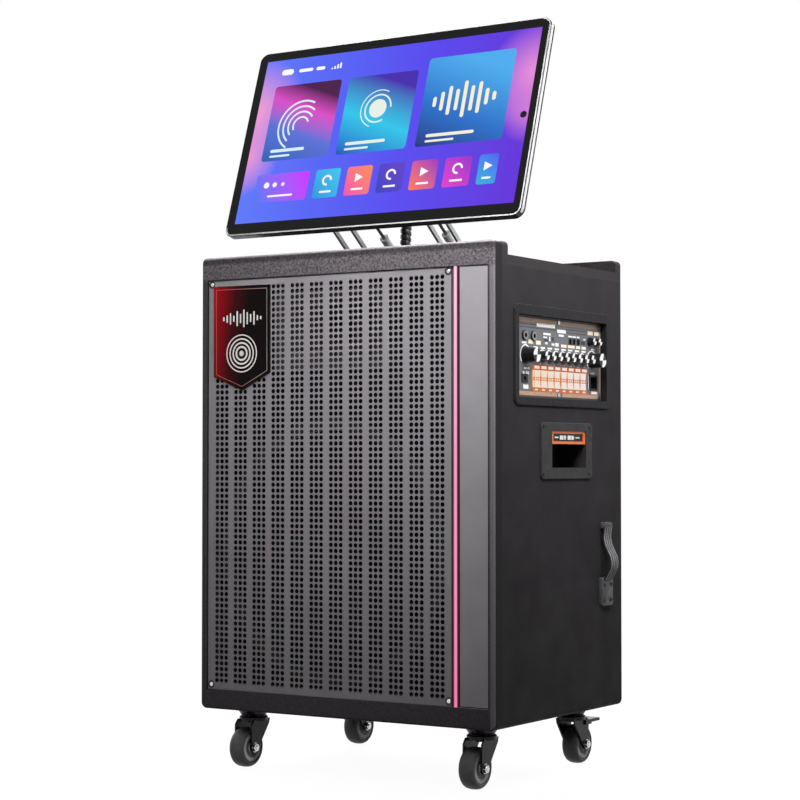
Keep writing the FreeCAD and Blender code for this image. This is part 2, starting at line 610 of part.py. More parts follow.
sw = screen_width / 2.0
rim_w = 2.2
screen_corner = 14.0
glass_corner = screen_corner - 1.5
glass_depth = 5.0
frame_solid = upright(-sw, sw, 0.0, 11.0, 0.0, screen_height, screen_corner)
front_loop = [e for e in frame_solid.Edges if e.BoundBox.YMax < 1e-6]
frame_solid = frame_solid.makeChamfer(1.0, front_loop)
frame_hole = upright(-sw + rim_w, sw - rim_w, -1.0, 12.0, rim_w, screen_height - rim_w, glass_corner)
keep("screen_frame", placed(frame_solid.cut(frame_hole)))
glass = upright(
    -sw + rim_w + 0.1, sw - rim_w - 0.1, 0.4, glass_depth, rim_w + 0.1, screen_height - rim_w - 0.1, glass_corner - 0.1)
keep("touch_display", placed(glass))
cover_thin = upright(
    -sw + rim_w + 0.2, sw - rim_w - 0.2, glass_depth, 14.0, rim_w + 0.2, screen_height - rim_w - 0.2, glass_corner - 0.2)
cover_block = upright(-sw + 26, sw - 26, 13.0, screen_thickness, 14.0, screen_height - 24, 8.0)
back_loop = [e for e in cover_block.Edges if e.BoundBox.YMin > screen_thickness - 1e-6]
cover_block = cover_block.makeChamfer(6.0, back_loop)
cover = joined([cover_thin, cover_block])
cover = cover.cut(box(
    -sw + 36, sw - 36, glass_depth + 3.0, screen_thickness - 3.0, 24.0, screen_height - 34))
vents = []
for i in range(15):
    x = -98.0 + 14.0 * i
    vents.append(box(x - 2.0, x + 2.0, screen_thickness - 2.0, screen_thickness + 1, screen_height - 90, screen_height - 62))
cover = cover.cut(group(vents))
keep("screen_cover", placed(cover))

# Bracket on the back of the screen: a plate, hinge ears with their pin, and strut ears
shaft_radius = 4.0
arm_x = (66.5, 98.0)
strut_x = 54.5
ear_thick = 3.0
bracket_plate = box(-112, 112, screen_thickness, screen_thickness + 2.5, 20, 96)
bracket = [bracket_plate]
ear_places = []
for x in (82.0, 108.0):
    for s in (-1, 1):
        ear_places.append(s * x)
for x in ear_places:
    ear = box(x - ear_thick / 2, x + ear_thick / 2, screen_thickness + 1, hinge_back, hinge_up - 8, hinge_up + 8)
    tip = rod((x - ear_thick / 2, hinge_back, hinge_up), (1, 0, 0), 8.0, ear_thick)
    bracket.append(joined([ear, tip]))
for s in (-1, 1):
    x = s * (strut_x - 9.0)
    ear = box(x - ear_thick / 2, x + ear_thick / 2, screen_thickness + 1, hinge_back, strut_up - 6, strut_up + 6)
    tip = rod((x - ear_thick / 2, hinge_back, strut_up), (1, 0, 0), 6.0, ear_thick)
    bracket.append(joined([ear, tip]))
bracket = joined(bracket)
hinge_pin = rod((-113, hinge_back, hinge_up), (1, 0, 0), shaft_radius, 226)
bracket = bracket.cut(hinge_pin)
keep("screen_bracket", group([placed(bracket), placed(hinge_pin)]))

# Arms: four flat bars turning together on the lower pin, with the screen's pin in their upper eyes
arm_dy = pivot_high.y - pivot_low_y
arm_dz = pivot_high.z - pivot_low_z
arm_length = math.hypot(arm_dy, arm_dz)
arm_angle = math.degrees(math.atan2(arm_dz, -arm_dy))
print("arm length", arm_length, "arm angle above level", arm_angle)
bars = []
for s in (-1, 1):
    for x in arm_x:
        x0 = s * x - 2.0
        bar = box(x0, x0 + 4.0, -arm_length, 0.0, -3.5, 3.5)
        eyes = [rod((x0, 0, 0), (1, 0, 0), 7.0, 4.0), rod((x0, -arm_length, 0), (1, 0, 0), 7.0, 4.0)]
        arm = joined([bar] + eyes)
        arm = arm.cut(rod((x0 - 1, 0, 0), (1, 0, 0), shaft_radius + running, 6))
        arm = arm.cut(rod((x0 - 1, -arm_length, 0), (1, 0, 0), shaft_radius + running, 6))
        bars.append(arm)
set_arm = Placement(Vector(0, pivot_low_y, pivot_low_z), Rotation(Vector(1, 0, 0), -arm_angle))
for bar in bars:
    bar.Placement = set_arm
keep("screen_arms", group(bars))

# Base on the tray: a plate, ears for the arm pin and for the strut pin
strut_pin = 3.0
base = [box(-116, 116, pivot_low_y - 16, strut_low_y + 14, tray_floor, tray_floor + 3.0)]
for x in ear_places:
    ear = box(x - ear_thick / 2, x + ear_thick / 2, pivot_low_y - 8, pivot_low_y + 8, tray_floor + 1, pivot_low_z)
    base.append(joined([ear, rod((x - ear_thick / 2, pivot_low_y, pivot_low_z), (1, 0, 0), 8.0, ear_thick)]))
for s in (-1, 1):
    for off in (-11.5, 11.5):
        x = s * strut_x + off
        ear = box(x - 1.5, x + 1.5, strut_low_y - 6, strut_low_y + 6, tray_floor + 1, pivot_low_z)
        base.append(joined([ear, rod((x - 1.5, strut_low_y, pivot_low_z), (1, 0, 0), 6.0, 3.0)]))
base = joined(base)
pins = []
pin_inner = strut_x + 9.0
pin_outer = 114.0
for s in (-1, 1):
    x0 = pin_inner if s > 0 else -pin_outer
    pins.append(rod((x0, pivot_low_y, pivot_low_z), (1, 0, 0), shaft_radius, pin_outer - pin_inner))
    pins.append(rod((s * strut_x - 14, strut_low_y, pivot_low_z), (1, 0, 0), strut_pin, 28))
for pin in pins:
    base = base.cut(pin)
keep("screen_base", group([base] + pins))

# Gas struts: cylinders on the base, rods reaching beside the ears of the bracket
strut_dy = strut_high.y - strut_low_y
strut_dz = strut_high.z - pivot_low_z
strut_length = math.hypot(strut_dy, strut_dz)
strut_angle = math.degrees(math.atan2(strut_dz, -strut_dy))
print("strut length", strut_length, "strut angle above level", strut_angle)
set_strut = Placement(Vector(0, strut_low_y, pivot_low_z), Rotation(Vector(1, 0, 0), -strut_angle))
tube_length = 74.0
tube_radius = 7.0
rod_radius = 2.6
cylinders = []
rods = []
for s in (-1, 1):
    x = s * strut_x
    tube = rod((x, -5.0, 0), (0, -1, 0), tube_radius, tube_length - 5.0)
    eye = rod((x - 5.0, 0, 0), (1, 0, 0), 6.5, 10.0)
    body = joined([tube, eye])
    body = body.cut(rod((x - 8, 0, 0), (1, 0, 0), strut_pin + running, 16))
    body = body.cut(rod((x, -tube_length + 64.0, 0), (0, -1, 0), rod_radius + running, 80))
    body.Placement = set_strut
    cylinders.append(body)
    shank = rod((x, -tube_length + 30.0, 0), (0, -1, 0), rod_radius, strut_length - tube_length + 30.0 - 3.0)
    end_eye = rod((x - 4.0, -strut_length, 0), (1, 0, 0), 5.0, 8.0)
    ram = joined([shank, end_eye])
    ram.Placement = set_strut
    rods.append(ram)
keep("strut_cylinders", group(cylinders))
keep("strut_rods", group(rods))

# Ribbed cable sleeve from the tray to the back of the screen, with its bore
loom_low = tray_floor - 6.0
loom_up = 150.0
loom_end = set_screen.multVec(Vector(0, screen_thickness + 0.4, loom_up))
loom_near = set_screen.multVec(Vector(0, screen_thickness + 25.4, loom_up))
start = Vector(0, loom_y, loom_low)
path = Part.BezierCurve()
path.setPoles([
    start, Vector(0, loom_y + 8.0, tray_floor + 72.0), Vector(0, loom_near.y + 27.0, loom_near.z - 37.2),
    loom_near, loom_end])
rib_pitch = 7.0
ribs = int(path.length() / rib_pitch)
sections = []
for k in range(ribs):
    for share, radius in ((0.05, 6.6), (0.30, 8.0), (0.62, 8.0), (0.87, 6.6)):
        at = path.parameterAtDistance((k + share) / ribs * path.length())
        sections.append((path.value(at), path.tangent(at)[0], radius))
circles = []
for spot, along, radius in sections:
    ring = Part.makeCircle(radius, Vector(0, 0, 0), Vector(0, 0, 1))
    side = Vector(1, 0, 0)
    ring.Placement = Placement(spot, Rotation(side, along.cross(side), along, "XZY"))
    circles.append(Part.Wire(ring))
loom_outer = Part.makeLoft(circles, True, True)
bores = []
for spot, along, radius in sections:
    ring = Part.makeCircle(4.5, Vector(0, 0, 0), Vector(0, 0, 1))
    side = Vector(1, 0, 0)
    ring.Placement = Placement(spot, Rotation(side, along.cross(side), along, "XZY"))
    bores.append(Part.Wire(ring))
loom_inner = Part.makeLoft(bores, True, True)
cable_loom = loom_outer.cut(loom_inner)
keep("cable_loom", cable_loom)
print("loom ribs", ribs, "loom end", loom_end)
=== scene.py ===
import math

import bmesh
import bpy
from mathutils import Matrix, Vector


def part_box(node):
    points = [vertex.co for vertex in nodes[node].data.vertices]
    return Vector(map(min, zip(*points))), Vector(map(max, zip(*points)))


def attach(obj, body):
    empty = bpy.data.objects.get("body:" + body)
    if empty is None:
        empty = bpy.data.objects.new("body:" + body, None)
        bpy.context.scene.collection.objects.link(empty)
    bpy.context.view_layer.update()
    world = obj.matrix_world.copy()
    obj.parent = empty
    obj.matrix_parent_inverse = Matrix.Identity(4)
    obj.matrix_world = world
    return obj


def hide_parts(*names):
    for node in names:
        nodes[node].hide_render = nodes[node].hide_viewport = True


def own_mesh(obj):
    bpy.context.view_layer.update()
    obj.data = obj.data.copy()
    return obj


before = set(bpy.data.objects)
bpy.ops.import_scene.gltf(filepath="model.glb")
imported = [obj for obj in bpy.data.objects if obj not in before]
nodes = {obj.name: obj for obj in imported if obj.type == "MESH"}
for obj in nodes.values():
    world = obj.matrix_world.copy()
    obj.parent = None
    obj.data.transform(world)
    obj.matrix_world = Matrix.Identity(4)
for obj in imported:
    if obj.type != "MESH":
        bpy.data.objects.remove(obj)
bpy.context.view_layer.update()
MM = 0.001


# Materials

def linear(red, green, blue):
    # a colour written as 0 to 255 steps, as the shaders want it
    steps = []
    for step in (red, green, blue):
        share = step / 255.0
        steps.append(share / 12.92 if share <= 0.04045 else ((share + 0.055) / 1.055) ** 2.4)
    return tuple(steps) + (1.0,)


def scaled(colour, share):
    return tuple(min(1.0, part * share) for part in colour[:3]) + (1.0,)


def new_material(name):
    material = bpy.data.materials.new(name)
    material.use_nodes = True
    return material, material.node_tree, material.node_tree.nodes["Principled BSDF"]


def feed(tree, node, values):
    # sockets or plain values go into the entries of a node
    for entry, value in values.items():
        if isinstance(value, bpy.types.NodeSocket):
            tree.links.new(value, node.inputs[entry])
        else:
            node.inputs[entry].default_value = value
    return node


def made(tree, kind, values):
    # a new node with its entries fed
    return feed(tree, tree.nodes.new(kind), values)


def combined(tree, kind, operation, *values):
    # the value of a maths node
    node = tree.nodes.new(kind)
    node.operation = operation
    return feed(tree, node, dict(enumerate(values))).outputs["Value"]


def here(tree, kind="Object"):
    # the place on a piece in metres, or another of its coordinates
    return tree.nodes.new("ShaderNodeTexCoord").outputs[kind]


def coordinates(tree, stretch=(1, 1, 1)):
    return made(tree, "ShaderNodeMapping", {"Vector": here(tree), "Scale": stretch}).outputs["Vector"]


def noise(tree, vector, scale, detail=3.0):
    values = {"Vector": vector, "Scale": scale, "Detail": detail}
    return made(tree, "ShaderNodeTexNoise", values).outputs["Fac"]


def cells(tree, vector, scale):
    node = made(tree, "ShaderNodeTexVoronoi", {"Vector": vector, "Scale": scale})
    node.feature = "SMOOTH_F1"
    return node.outputs["Distance"]


def ramp(tree, value, stops):
    # a colour that runs through its stops as the value goes from 0 to 1
    node = tree.nodes.new("ShaderNodeValToRGB")
    bar = node.color_ramp
    while len(bar.elements) < len(stops):
        bar.elements.new(0.5)
    for element, (place, colour) in zip(bar.elements, stops):
        element.position = place
        element.color = colour
    tree.links.new(value, node.inputs["Fac"])
    return node.outputs["Color"]


def mapped(tree, value, low, high, out_low, out_high):
    # the value moved from one range to another
    node = made(tree, "ShaderNodeMapRange", {
        "Value": value, "From Min": low, "From Max": high, "To Min": out_low, "To Max": out_high})
    return node.outputs["Result"]


def bumped(tree, shader, height, strength, distance):
    node = made(tree, "ShaderNodeBump", {"Height": height, "Strength": strength, "Distance": distance})
    tree.links.new(node.outputs["Normal"], shader.inputs["Normal"])


def uneven_gloss(tree, shader, vector, scale, low, high):
    # roughness that wanders between two values
    rough = mapped(tree, noise(tree, vector, scale), 0.3, 0.7, low, high)
    tree.links.new(rough, shader.inputs["Roughness"])


def surface(name, colour, rough, metal=0.0, specular=0.5, tone=0.15, tone_scale=30.0, spread=0.08,
            grain="fine", grain_scale=900.0, strength=0.2, distance=0.0004, stretch=(1, 1, 1)):
    # a finish whose colour, gloss and relief vary a little over the surface
    material, tree, shader = new_material(name)
    vector = coordinates(tree, stretch)
    blotch = noise(tree, coordinates(tree), tone_scale)
    shade = ramp(tree, blotch, [(0.3, scaled(colour, 1.0 - tone)), (0.7, scaled(colour, 1.0 + tone))])
    feed(tree, shader, {"Base Color": shade, "Metallic": metal, "Specular IOR Level": specular})
    uneven_gloss(tree, shader, vector, tone_scale * 3.0, max(0.02, rough - spread), min(1.0, rough + spread))
    relief = cells(tree, vector, grain_scale) if grain == "pebble" else noise(tree, vector, grain_scale, 4.0)
    bumped(tree, shader, relief, strength, distance)
    return material


def slope(tree, direction, low, high):
    # 0 to 1 along a direction, between two distances in metres
    reach = combined(tree, "ShaderNodeVectorMath", "DOT_PRODUCT", here(tree), direction)
    return mapped(tree, reach, low, high, 0.0, 1.0)


def lit(name, direction, low, high, stops, strength=1.0, rough=0.12):
    # a glowing face whose colour runs along a direction
    material, tree, shader = new_material(name)
    colour = ramp(tree, slope(tree, direction, low, high), stops)
    feed(tree, shader, {
        "Emission Color": colour, "Emission Strength": strength, "Base Color": (0.01, 0.01, 0.012, 1.0),
        "Specular IOR Level": 0.08})
    uneven_gloss(tree, shader, coordinates(tree), 60.0, rough, rough + 0.08)
    return material


def dress(material, *names):
    # one finish over whole nodes
    for name in names:
        mesh = nodes[name].data
        if not nodes[name].material_slots:
            mesh.materials.append(material)
        for slot in nodes[name].material_slots:
            slot.material = material


VINYL = surface(
    "vinyl", linear(50, 48, 50), 0.62, specular=0.04, tone=0.10, tone_scale=9.0, grain="pebble",
    grain_scale=620.0, strength=0.35, distance=0.0006)
GRAIN = surface(
    "coarse_grain", linear(56, 53, 55), 0.62, specular=0.05, tone=0.16, tone_scale=420.0, grain="pebble",
    grain_scale=430.0, strength=0.7, distance=0.0009)
GRILLE = surface(
    "grille_paint", linear(168, 164, 168), 0.55, specular=0.05, tone=0.05, tone_scale=14.0,
    grain_scale=1600.0, strength=0.10, distance=0.0002)
TRIM = surface(
    "trim_metal", linear(180, 176, 181), 0.45, specular=0.06, tone=0.05, tone_scale=20.0,
    grain_scale=900.0, strength=0.12, distance=0.0002, stretch=(1, 1, 0.04))
BRIGHT = surface("bright_steel", linear(205, 205, 208), 0.18, metal=1.0, tone=0.06, strength=0.06)
BLACK_STEEL = surface(
    "black_steel", linear(16, 16, 17), 0.3, specular=0.16, tone=0.15, tone_scale=60.0,
    grain_scale=1100.0, strength=0.12, distance=0.0003)
RUBBER = surface(
    "tyre_rubber", linear(96, 95, 97), 0.55, specular=0.3, tone=0.12, tone_scale=120.0,
    grain_scale=1500.0, strength=0.25, distance=0.0003)
HUB = surface("hub_plastic", linear(228, 228, 230), 0.42, tone=0.06, tone_scale=90.0, strength=0.12)
BOARD = surface(
    "fibre_board", linear(20, 18, 17), 0.8, specular=0.1, tone=0.25, tone_scale=160.0, strength=0.4)
BASKET = surface("pressed_steel", linear(20, 20, 21), 0.5, metal=0.2, tone=0.1, strength=0.1)
CONE = surface(
    "paper_cone", linear(20, 20, 21), 0.85, specular=0.1, tone=0.2, tone_scale=220.0,
    grain_scale=800.0, strength=0.5, distance=0.0006)
HORN = surface("horn_plastic", linear(40, 40, 42), 0.5, tone=0.08, strength=0.2)
SHRINK = surface("battery_wrap", linear(42, 60, 98), 0.3, tone=0.08, tone_scale=40.0, strength=0.15)
HEATSINK = surface("cast_aluminium", linear(150, 150, 152), 0.45, metal=0.9, tone=0.08, strength=0.25)
SURROUND = surface(
    "moulded_plastic", linear(34, 33, 35), 0.5, specular=0.08, tone=0.07, tone_scale=50.0,
    grain_scale=1300.0, strength=0.22, distance=0.0003)
PLATE = surface(
    "printed_metal", linear(98, 100, 105), 0.4, metal=0.1, tone=0.06, tone_scale=60.0,
    grain_scale=1400.0, strength=0.14, distance=0.0002, stretch=(1, 0.05, 1))
CUP = surface("cup_plastic", linear(50, 48, 50), 0.5, specular=0.12, tone=0.2, tone_scale=60.0, strength=0.15)
SOCKET = surface(
    "socket_plastic", linear(20, 20, 22), 0.4, specular=0.2, tone=0.1, tone_scale=80.0, strength=0.15)
ORANGE = surface("orange_plastic", linear(236, 118, 42), 0.34, tone=0.06, tone_scale=70.0, strength=0.12)
STRAP_RIB = surface(
    "strap_ribs", linear(132, 130, 133), 0.5, specular=0.3, tone=0.1, tone_scale=90.0, strength=0.1)
STRAP = surface(
    "strap_rubber", linear(64, 63, 65), 0.5, specular=0.3, tone=0.10, tone_scale=110.0,
    grain_scale=1000.0, strength=0.3, distance=0.0003)
GLASS = surface(
    "black_glass", linear(8, 8, 9), 0.08, specular=0.14, tone=0.08, tone_scale=12.0, spread=0.03,
    strength=0.01)
RIM = surface("rim_metal", linear(206, 206, 208), 0.4, metal=0.1, tone=0.06, strength=0.06)
COVER = surface(
    "cover_plastic", linear(40, 40, 42), 0.5, specular=0.3, tone=0.08, tone_scale=40.0, grain="pebble",
    grain_scale=900.0, strength=0.25, distance=0.0003)
BRACKET = surface("bracket_steel", linear(58, 58, 60), 0.4, metal=0.5, tone=0.1, strength=0.15)
ARM = surface("arm_steel", linear(186, 187, 190), 0.36, metal=0.35, tone=0.06, tone_scale=70.0, strength=0.12)
TUBE = surface(
    "tube_paint", linear(222, 222, 224), 0.35, metal=0.2, tone=0.05, tone_scale=70.0, strength=0.05)
RAM = surface("ram_steel", linear(120, 120, 124), 0.2, metal=0.9, tone=0.06, strength=0.04)
WRAP = surface(
    "wrap_plastic", linear(58, 58, 60), 0.34, specular=0.6, tone=0.1, tone_scale=120.0, strength=0.1)
KNOB = surface(
    "knob_plastic", linear(18, 18, 20), 0.34, specular=0.3, tone=0.1, tone_scale=120.0, strength=0.15)
CAP_PAINTED_HIGHLIGHT = surface("cap_painted_highlight", linear(246, 246, 248), 0.3, metal=0.35, tone=0.04, tone_scale=300.0, strength=0.05)
PRINT_WHITE = surface("print_white", linear(252, 250, 247), 0.5, tone=0.04, tone_scale=500.0, strength=0.05)
PRINT_CREAM = surface("print_cream", linear(252, 234, 206), 0.5, tone=0.06, tone_scale=500.0, strength=0.05)
PRINT_COPPER = surface(
    "print_copper", linear(194, 150, 124), 0.34, metal=0.2, tone=0.08, tone_scale=90.0, strength=0.08)
PRINT_DARK = surface("print_dark", linear(36, 34, 36), 0.5, tone=0.1, tone_scale=200.0, strength=0.05)
SCREW_DARK = surface("dark_screw", linear(30, 30, 32), 0.28, metal=0.8, tone=0.1, strength=0.08)
STRIP_SHADOW_PAINT = surface(
    "strip_shadow_paint", linear(66, 26, 44), 0.5, specular=0.1, tone=0.1, tone_scale=60.0, strength=0.1)
FRAME_BLACK = surface(
    "frame_black", linear(10, 10, 11), 0.22, specular=0.4, tone=0.08, tone_scale=30.0, strength=0.03)
FRONT_GRAIN = surface(
    "front_grain", linear(114, 109, 113), 0.62, specular=0.05, tone=0.6, tone_scale=340.0, grain="pebble",
    grain_scale=430.0, strength=0.7, distance=0.0009)


def grey(share):
    return (share, share, share, 1.0)


def tinted(material, factor, colour, entry="Base Color"):
    # the colour at an entry of the shader turns towards another one as the factor grows
    tree = material.node_tree
    shader = tree.nodes["Principled BSDF"]
    plain = shader.inputs[entry].links[0].from_socket
    mix = tree.nodes.new("ShaderNodeMix")
    mix.data_type = "RGBA"
    feed(tree, mix, {"Factor": factor, "A": plain, "B": colour})
    tree.links.new(mix.outputs["Result"], shader.inputs[entry])


def facing(tree, axis, low, high, at_low, at_high):
    # a value that runs with how squarely a face is turned along an axis
    parts = tree.nodes.new("ShaderNodeSeparateXYZ")
    tree.links.new(here(tree, "Normal"), parts.inputs["Vector"])
    size = combined(tree, "ShaderNodeMath", "ABSOLUTE", parts.outputs[axis])
    return mapped(tree, size, low, high, at_low, at_high)


# Front frame, in metres: a painted highlight along the top edge over a band of painted shade, standing in for
# light on its rounded top
FRAME_SHADE_PAINT = linear(42, 40, 42)
TOP_EDGE = (0.7300, 0.7460)
grain_tree = FRONT_GRAIN.node_tree
rise = slope(grain_tree, (0, 0, 1), *TOP_EDGE)
painted_shade_band = ramp(grain_tree, rise, [
    (0.0, grey(0.0)), (0.22, grey(0.0)), (0.45, grey(0.62)), (0.72, grey(0.62)), (0.82, grey(0.0))])
painted_top_highlight = ramp(grain_tree, rise, [(0.0, grey(0.0)), (0.80, grey(0.0)), (0.90, grey(0.75))])
tinted(FRONT_GRAIN, painted_shade_band, FRAME_SHADE_PAINT)
tinted(FRONT_GRAIN, painted_top_highlight, linear(188, 184, 188))

# Smooth, darker borders under the grainy head of the frame, with a painted highlight along the right edge,
# and painted shade on the flanks
HEAD_SEAM = (0.7105, 0.7135)
RIGHT_EDGE = (0.2400, 0.2425)
head = slope(grain_tree, (0, 0, 1), *HEAD_SEAM)
border_tone_and_edge_highlight = ramp(grain_tree, slope(grain_tree, (1, 0, 0), *RIGHT_EDGE), [
    (0.0, linear(76, 73, 76)), (1.0, linear(140, 135, 139))])
tinted(FRONT_GRAIN, mapped(grain_tree, head, 0.0, 1.0, 0.85, 0.0), border_tone_and_edge_highlight)
for node in [node for node in grain_tree.nodes if node.type == "BUMP"]:
    grain_tree.links.new(mapped(grain_tree, head, 0.0, 1.0, 0.1, 0.7), node.inputs["Strength"])
# painted shade: the frame's sideways-facing flanks turn darker
tinted(FRONT_GRAIN, facing(grain_tree, "X", 0.5, 0.9, 0.0, 1.0), FRAME_SHADE_PAINT)

# Painted shade: dark walls inside the holes of the grille and along its edges
tinted(GRILLE, facing(GRILLE.node_tree, "Y", 0.3, 0.7, 1.0, 0.0), linear(10, 10, 11))

dress(VINYL, "cabinet_shell", "rear_panel")
dress(GRAIN, "top_tray")
dress(FRONT_GRAIN, "front_frame")
dress(GRILLE, "speaker_grille")
dress(TRIM, "trim_panel")
dress(BRIGHT, "bright_screws")
dress(BOARD, "front_baffle")
dress(BASKET, "woofer_basket")
dress(CONE, "woofer_cone")
dress(HORN, "tweeter_horn")
dress(SHRINK, "battery_pack")
dress(HEATSINK, "amplifier_module")
dress(SURROUND, "control_surround")
dress(CUP, "handle_cups")
dress(PLATE, "control_plate")
dress(SOCKET, "panel_sockets")
dress(ORANGE, "cup_insert")
dress(STRAP, "strap_handles")
dress(BLACK_STEEL, "caster_plates", "pedal_left", "pedal_right")
dress(BRACKET, "screen_base", "screen_bracket")
dress(GLASS, "touch_display")
dress(FRAME_BLACK, "screen_frame")
dress(COVER, "screen_cover")
dress(ARM, "screen_arms")
dress(TUBE, "strut_cylinders")
dress(RAM, "strut_rods")
dress(WRAP, "cable_loom")
CASTERS = ["front_left", "front_right", "rear_left", "rear_right"]
for label in CASTERS:
    dress(BLACK_STEEL, "fork_" + label)
    dress(RUBBER, "wheel_" + label)
KNOBS = ["knob_large_front", "knob_large_back", "knob_upper_1", "knob_upper_2"]
KNOBS += ["knob_small_%d" % (i + 1) for i in range(8)]
dress(KNOB, *KNOBS)

# Glowing faces and their reach in metres: the light strip with painted shade along its sides, and the keys
# with their printed field, which is given a painted glow
STRIP_HEIGHT = (0.114, 0.713)
STRIP_WIDTH = (0.18244, 0.18944)
KEY_RUN = (-0.07, 0.09)
FIELD_HEIGHT = (0.542, 0.590)
STRIP_GLOW = lit(
    "strip_glow", (0, 0, 1), *STRIP_HEIGHT,
    [(0.0, linear(240, 122, 174)), (0.55, linear(246, 160, 198)), (1.0, linear(252, 204, 226))], 1.0, 0.3)
strip_tree = STRIP_GLOW.node_tree
# painted shade: the strip's glow darkens towards both of its sides
strip_painted_shade_sides = ramp(strip_tree, slope(strip_tree, (1, 0, 0), *STRIP_WIDTH), [
    (0.08, grey(1.0)), (0.24, grey(0.0)), (0.76, grey(0.0)), (0.92, grey(1.0))])
tinted(STRIP_GLOW, strip_painted_shade_sides, linear(84, 14, 48), "Emission Color")
dress(STRIP_GLOW, "light_strip")
KEY_GLOW = lit(
    "key_glow", (0, 1, 0), *KEY_RUN,
    [(0.0, linear(248, 226, 200)), (0.5, linear(248, 232, 218)), (1.0, linear(250, 232, 228))], 0.9, 0.3)
BAND_GLOW = lit(
    "band_glow", (0, 1, 0), *KEY_RUN,
    [(0.0, linear(226, 140, 66)), (0.5, linear(220, 118, 50)), (1.0, linear(212, 120, 84))], 0.85, 0.3)
# painted glow on the printed orange field around the keys, standing in for light on it
FIELD_PAINTED_GLOW = lit(
    "field_painted_glow", (0, 0, 1), *FIELD_HEIGHT,
    [(0.0, linear(226, 124, 52)), (0.7, linear(206, 100, 46)), (1.0, linear(176, 76, 42))], 0.8, 0.3)
dress(KEY_GLOW, *["key_%d" % (i + 1) for i in range(8)])


# Places in millimetres, most of them from the frame

def span(name):
    # the low and the high corner of a node's box
    low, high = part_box(name)
    return Vector(low) / MM, Vector(high) / MM


def middle_of(name):
    # the middle of a node, along the depth and up
    low, high = span(name)
    return (low.y + high.y) / 2.0, (low.z + high.z) / 2.0


GRILLE_LOW, GRILLE_HIGH = span("speaker_grille")
TRIM_LOW, TRIM_HIGH = span("trim_panel")
CUP_LOW, CUP_HIGH = span("handle_cups")
INSERT_LOW, INSERT_HIGH = span("cup_insert")
STRAP_BOX_LOW, STRAP_BOX_HIGH = span("strap_handles")
KEY_LOW, KEY_HIGH = span("key_1")
PLATE_X = span("control_plate")[1].x
WALL_X = span("cabinet_shell")[1].x
LEAN = math.radians(18.0)
GLASS_FOOT_Y = -127.0
GLASS_FOOT_Z = 783.7
GLASS_STEP = 0.4


def front(u, v, w):
    # on the grille's front: across, up, out towards the viewer
    return (u * MM, (GRILLE_LOW.y - w) * MM, v * MM)


def side(u, v, w):
    # on the control plate's face: along the depth, up, out of the side
    return ((PLATE_X + w) * MM, u * MM, v * MM)


def skin(u, v, w):
    # on the right side's outer face: along the depth, up, out of it
    return ((WALL_X + w) * MM, u * MM, v * MM)


def screen(u, v, w):
    # on the screen's glass: across, up along the glass, out of it
    back = GLASS_STEP - w
    y = GLASS_FOOT_Y + back * math.cos(LEAN) + v * math.sin(LEAN)
    z = GLASS_FOOT_Z - back * math.sin(LEAN) + v * math.cos(LEAN)
    return (u * MM, y * MM, z * MM)


# Shapes

def rectangle(u0, v0, u1, v1):
    return [(u0, v0), (u1, v0), (u1, v1), (u0, v1)]


def rounded(u0, v0, u1, v1, radius, steps=4):
    outline = []
    middles = [
        (u1 - radius, v0 + radius, -90), (u1 - radius, v1 - radius, 0),
        (u0 + radius, v1 - radius, 90), (u0 + radius, v0 + radius, 180)]
    for cu, cv, turn in middles:
        for k in range(steps + 1):
            t = math.radians(turn + 90.0 * k / steps)
            outline.append((cu + radius * math.cos(t), cv + radius * math.sin(t)))
    return outline


def disc(u, v, radius, steps=20, turn=0.0):
    return [
        (u + radius * math.cos(math.radians(turn) + 2 * math.pi * k / steps),
         v + radius * math.sin(math.radians(turn) + 2 * math.pi * k / steps)) for k in range(steps)]


def inset(outline, depth):
    # the outline moved inwards, for outlines drawn anticlockwise
    moved = []
    for k, (u, v) in enumerate(outline):
        pu, pv = outline[k - 1]
        nu, nv = outline[(k + 1) % len(outline)]
        ahead = Vector((nu - u, nv - v)).normalized()
        behind = Vector((u - pu, v - pv)).normalized()
        normal = Vector((-behind.y - ahead.y, behind.x + ahead.x))
        if normal.length < 1e-9:
            normal = Vector((-ahead.y, ahead.x))
        normal.normalize()
        reach = depth / max(0.3, normal.dot(Vector((-ahead.y, ahead.x))))
        moved.append((u + normal.x * reach, v + normal.y * reach))
    return moved


def raised(outline, w):
    return [(u, v, w) for u, v in outline]


def placed(name, data):
    # a new object in the scene
    thing = bpy.data.objects.new(name, data)
    bpy.context.scene.collection.objects.link(thing)
    return thing


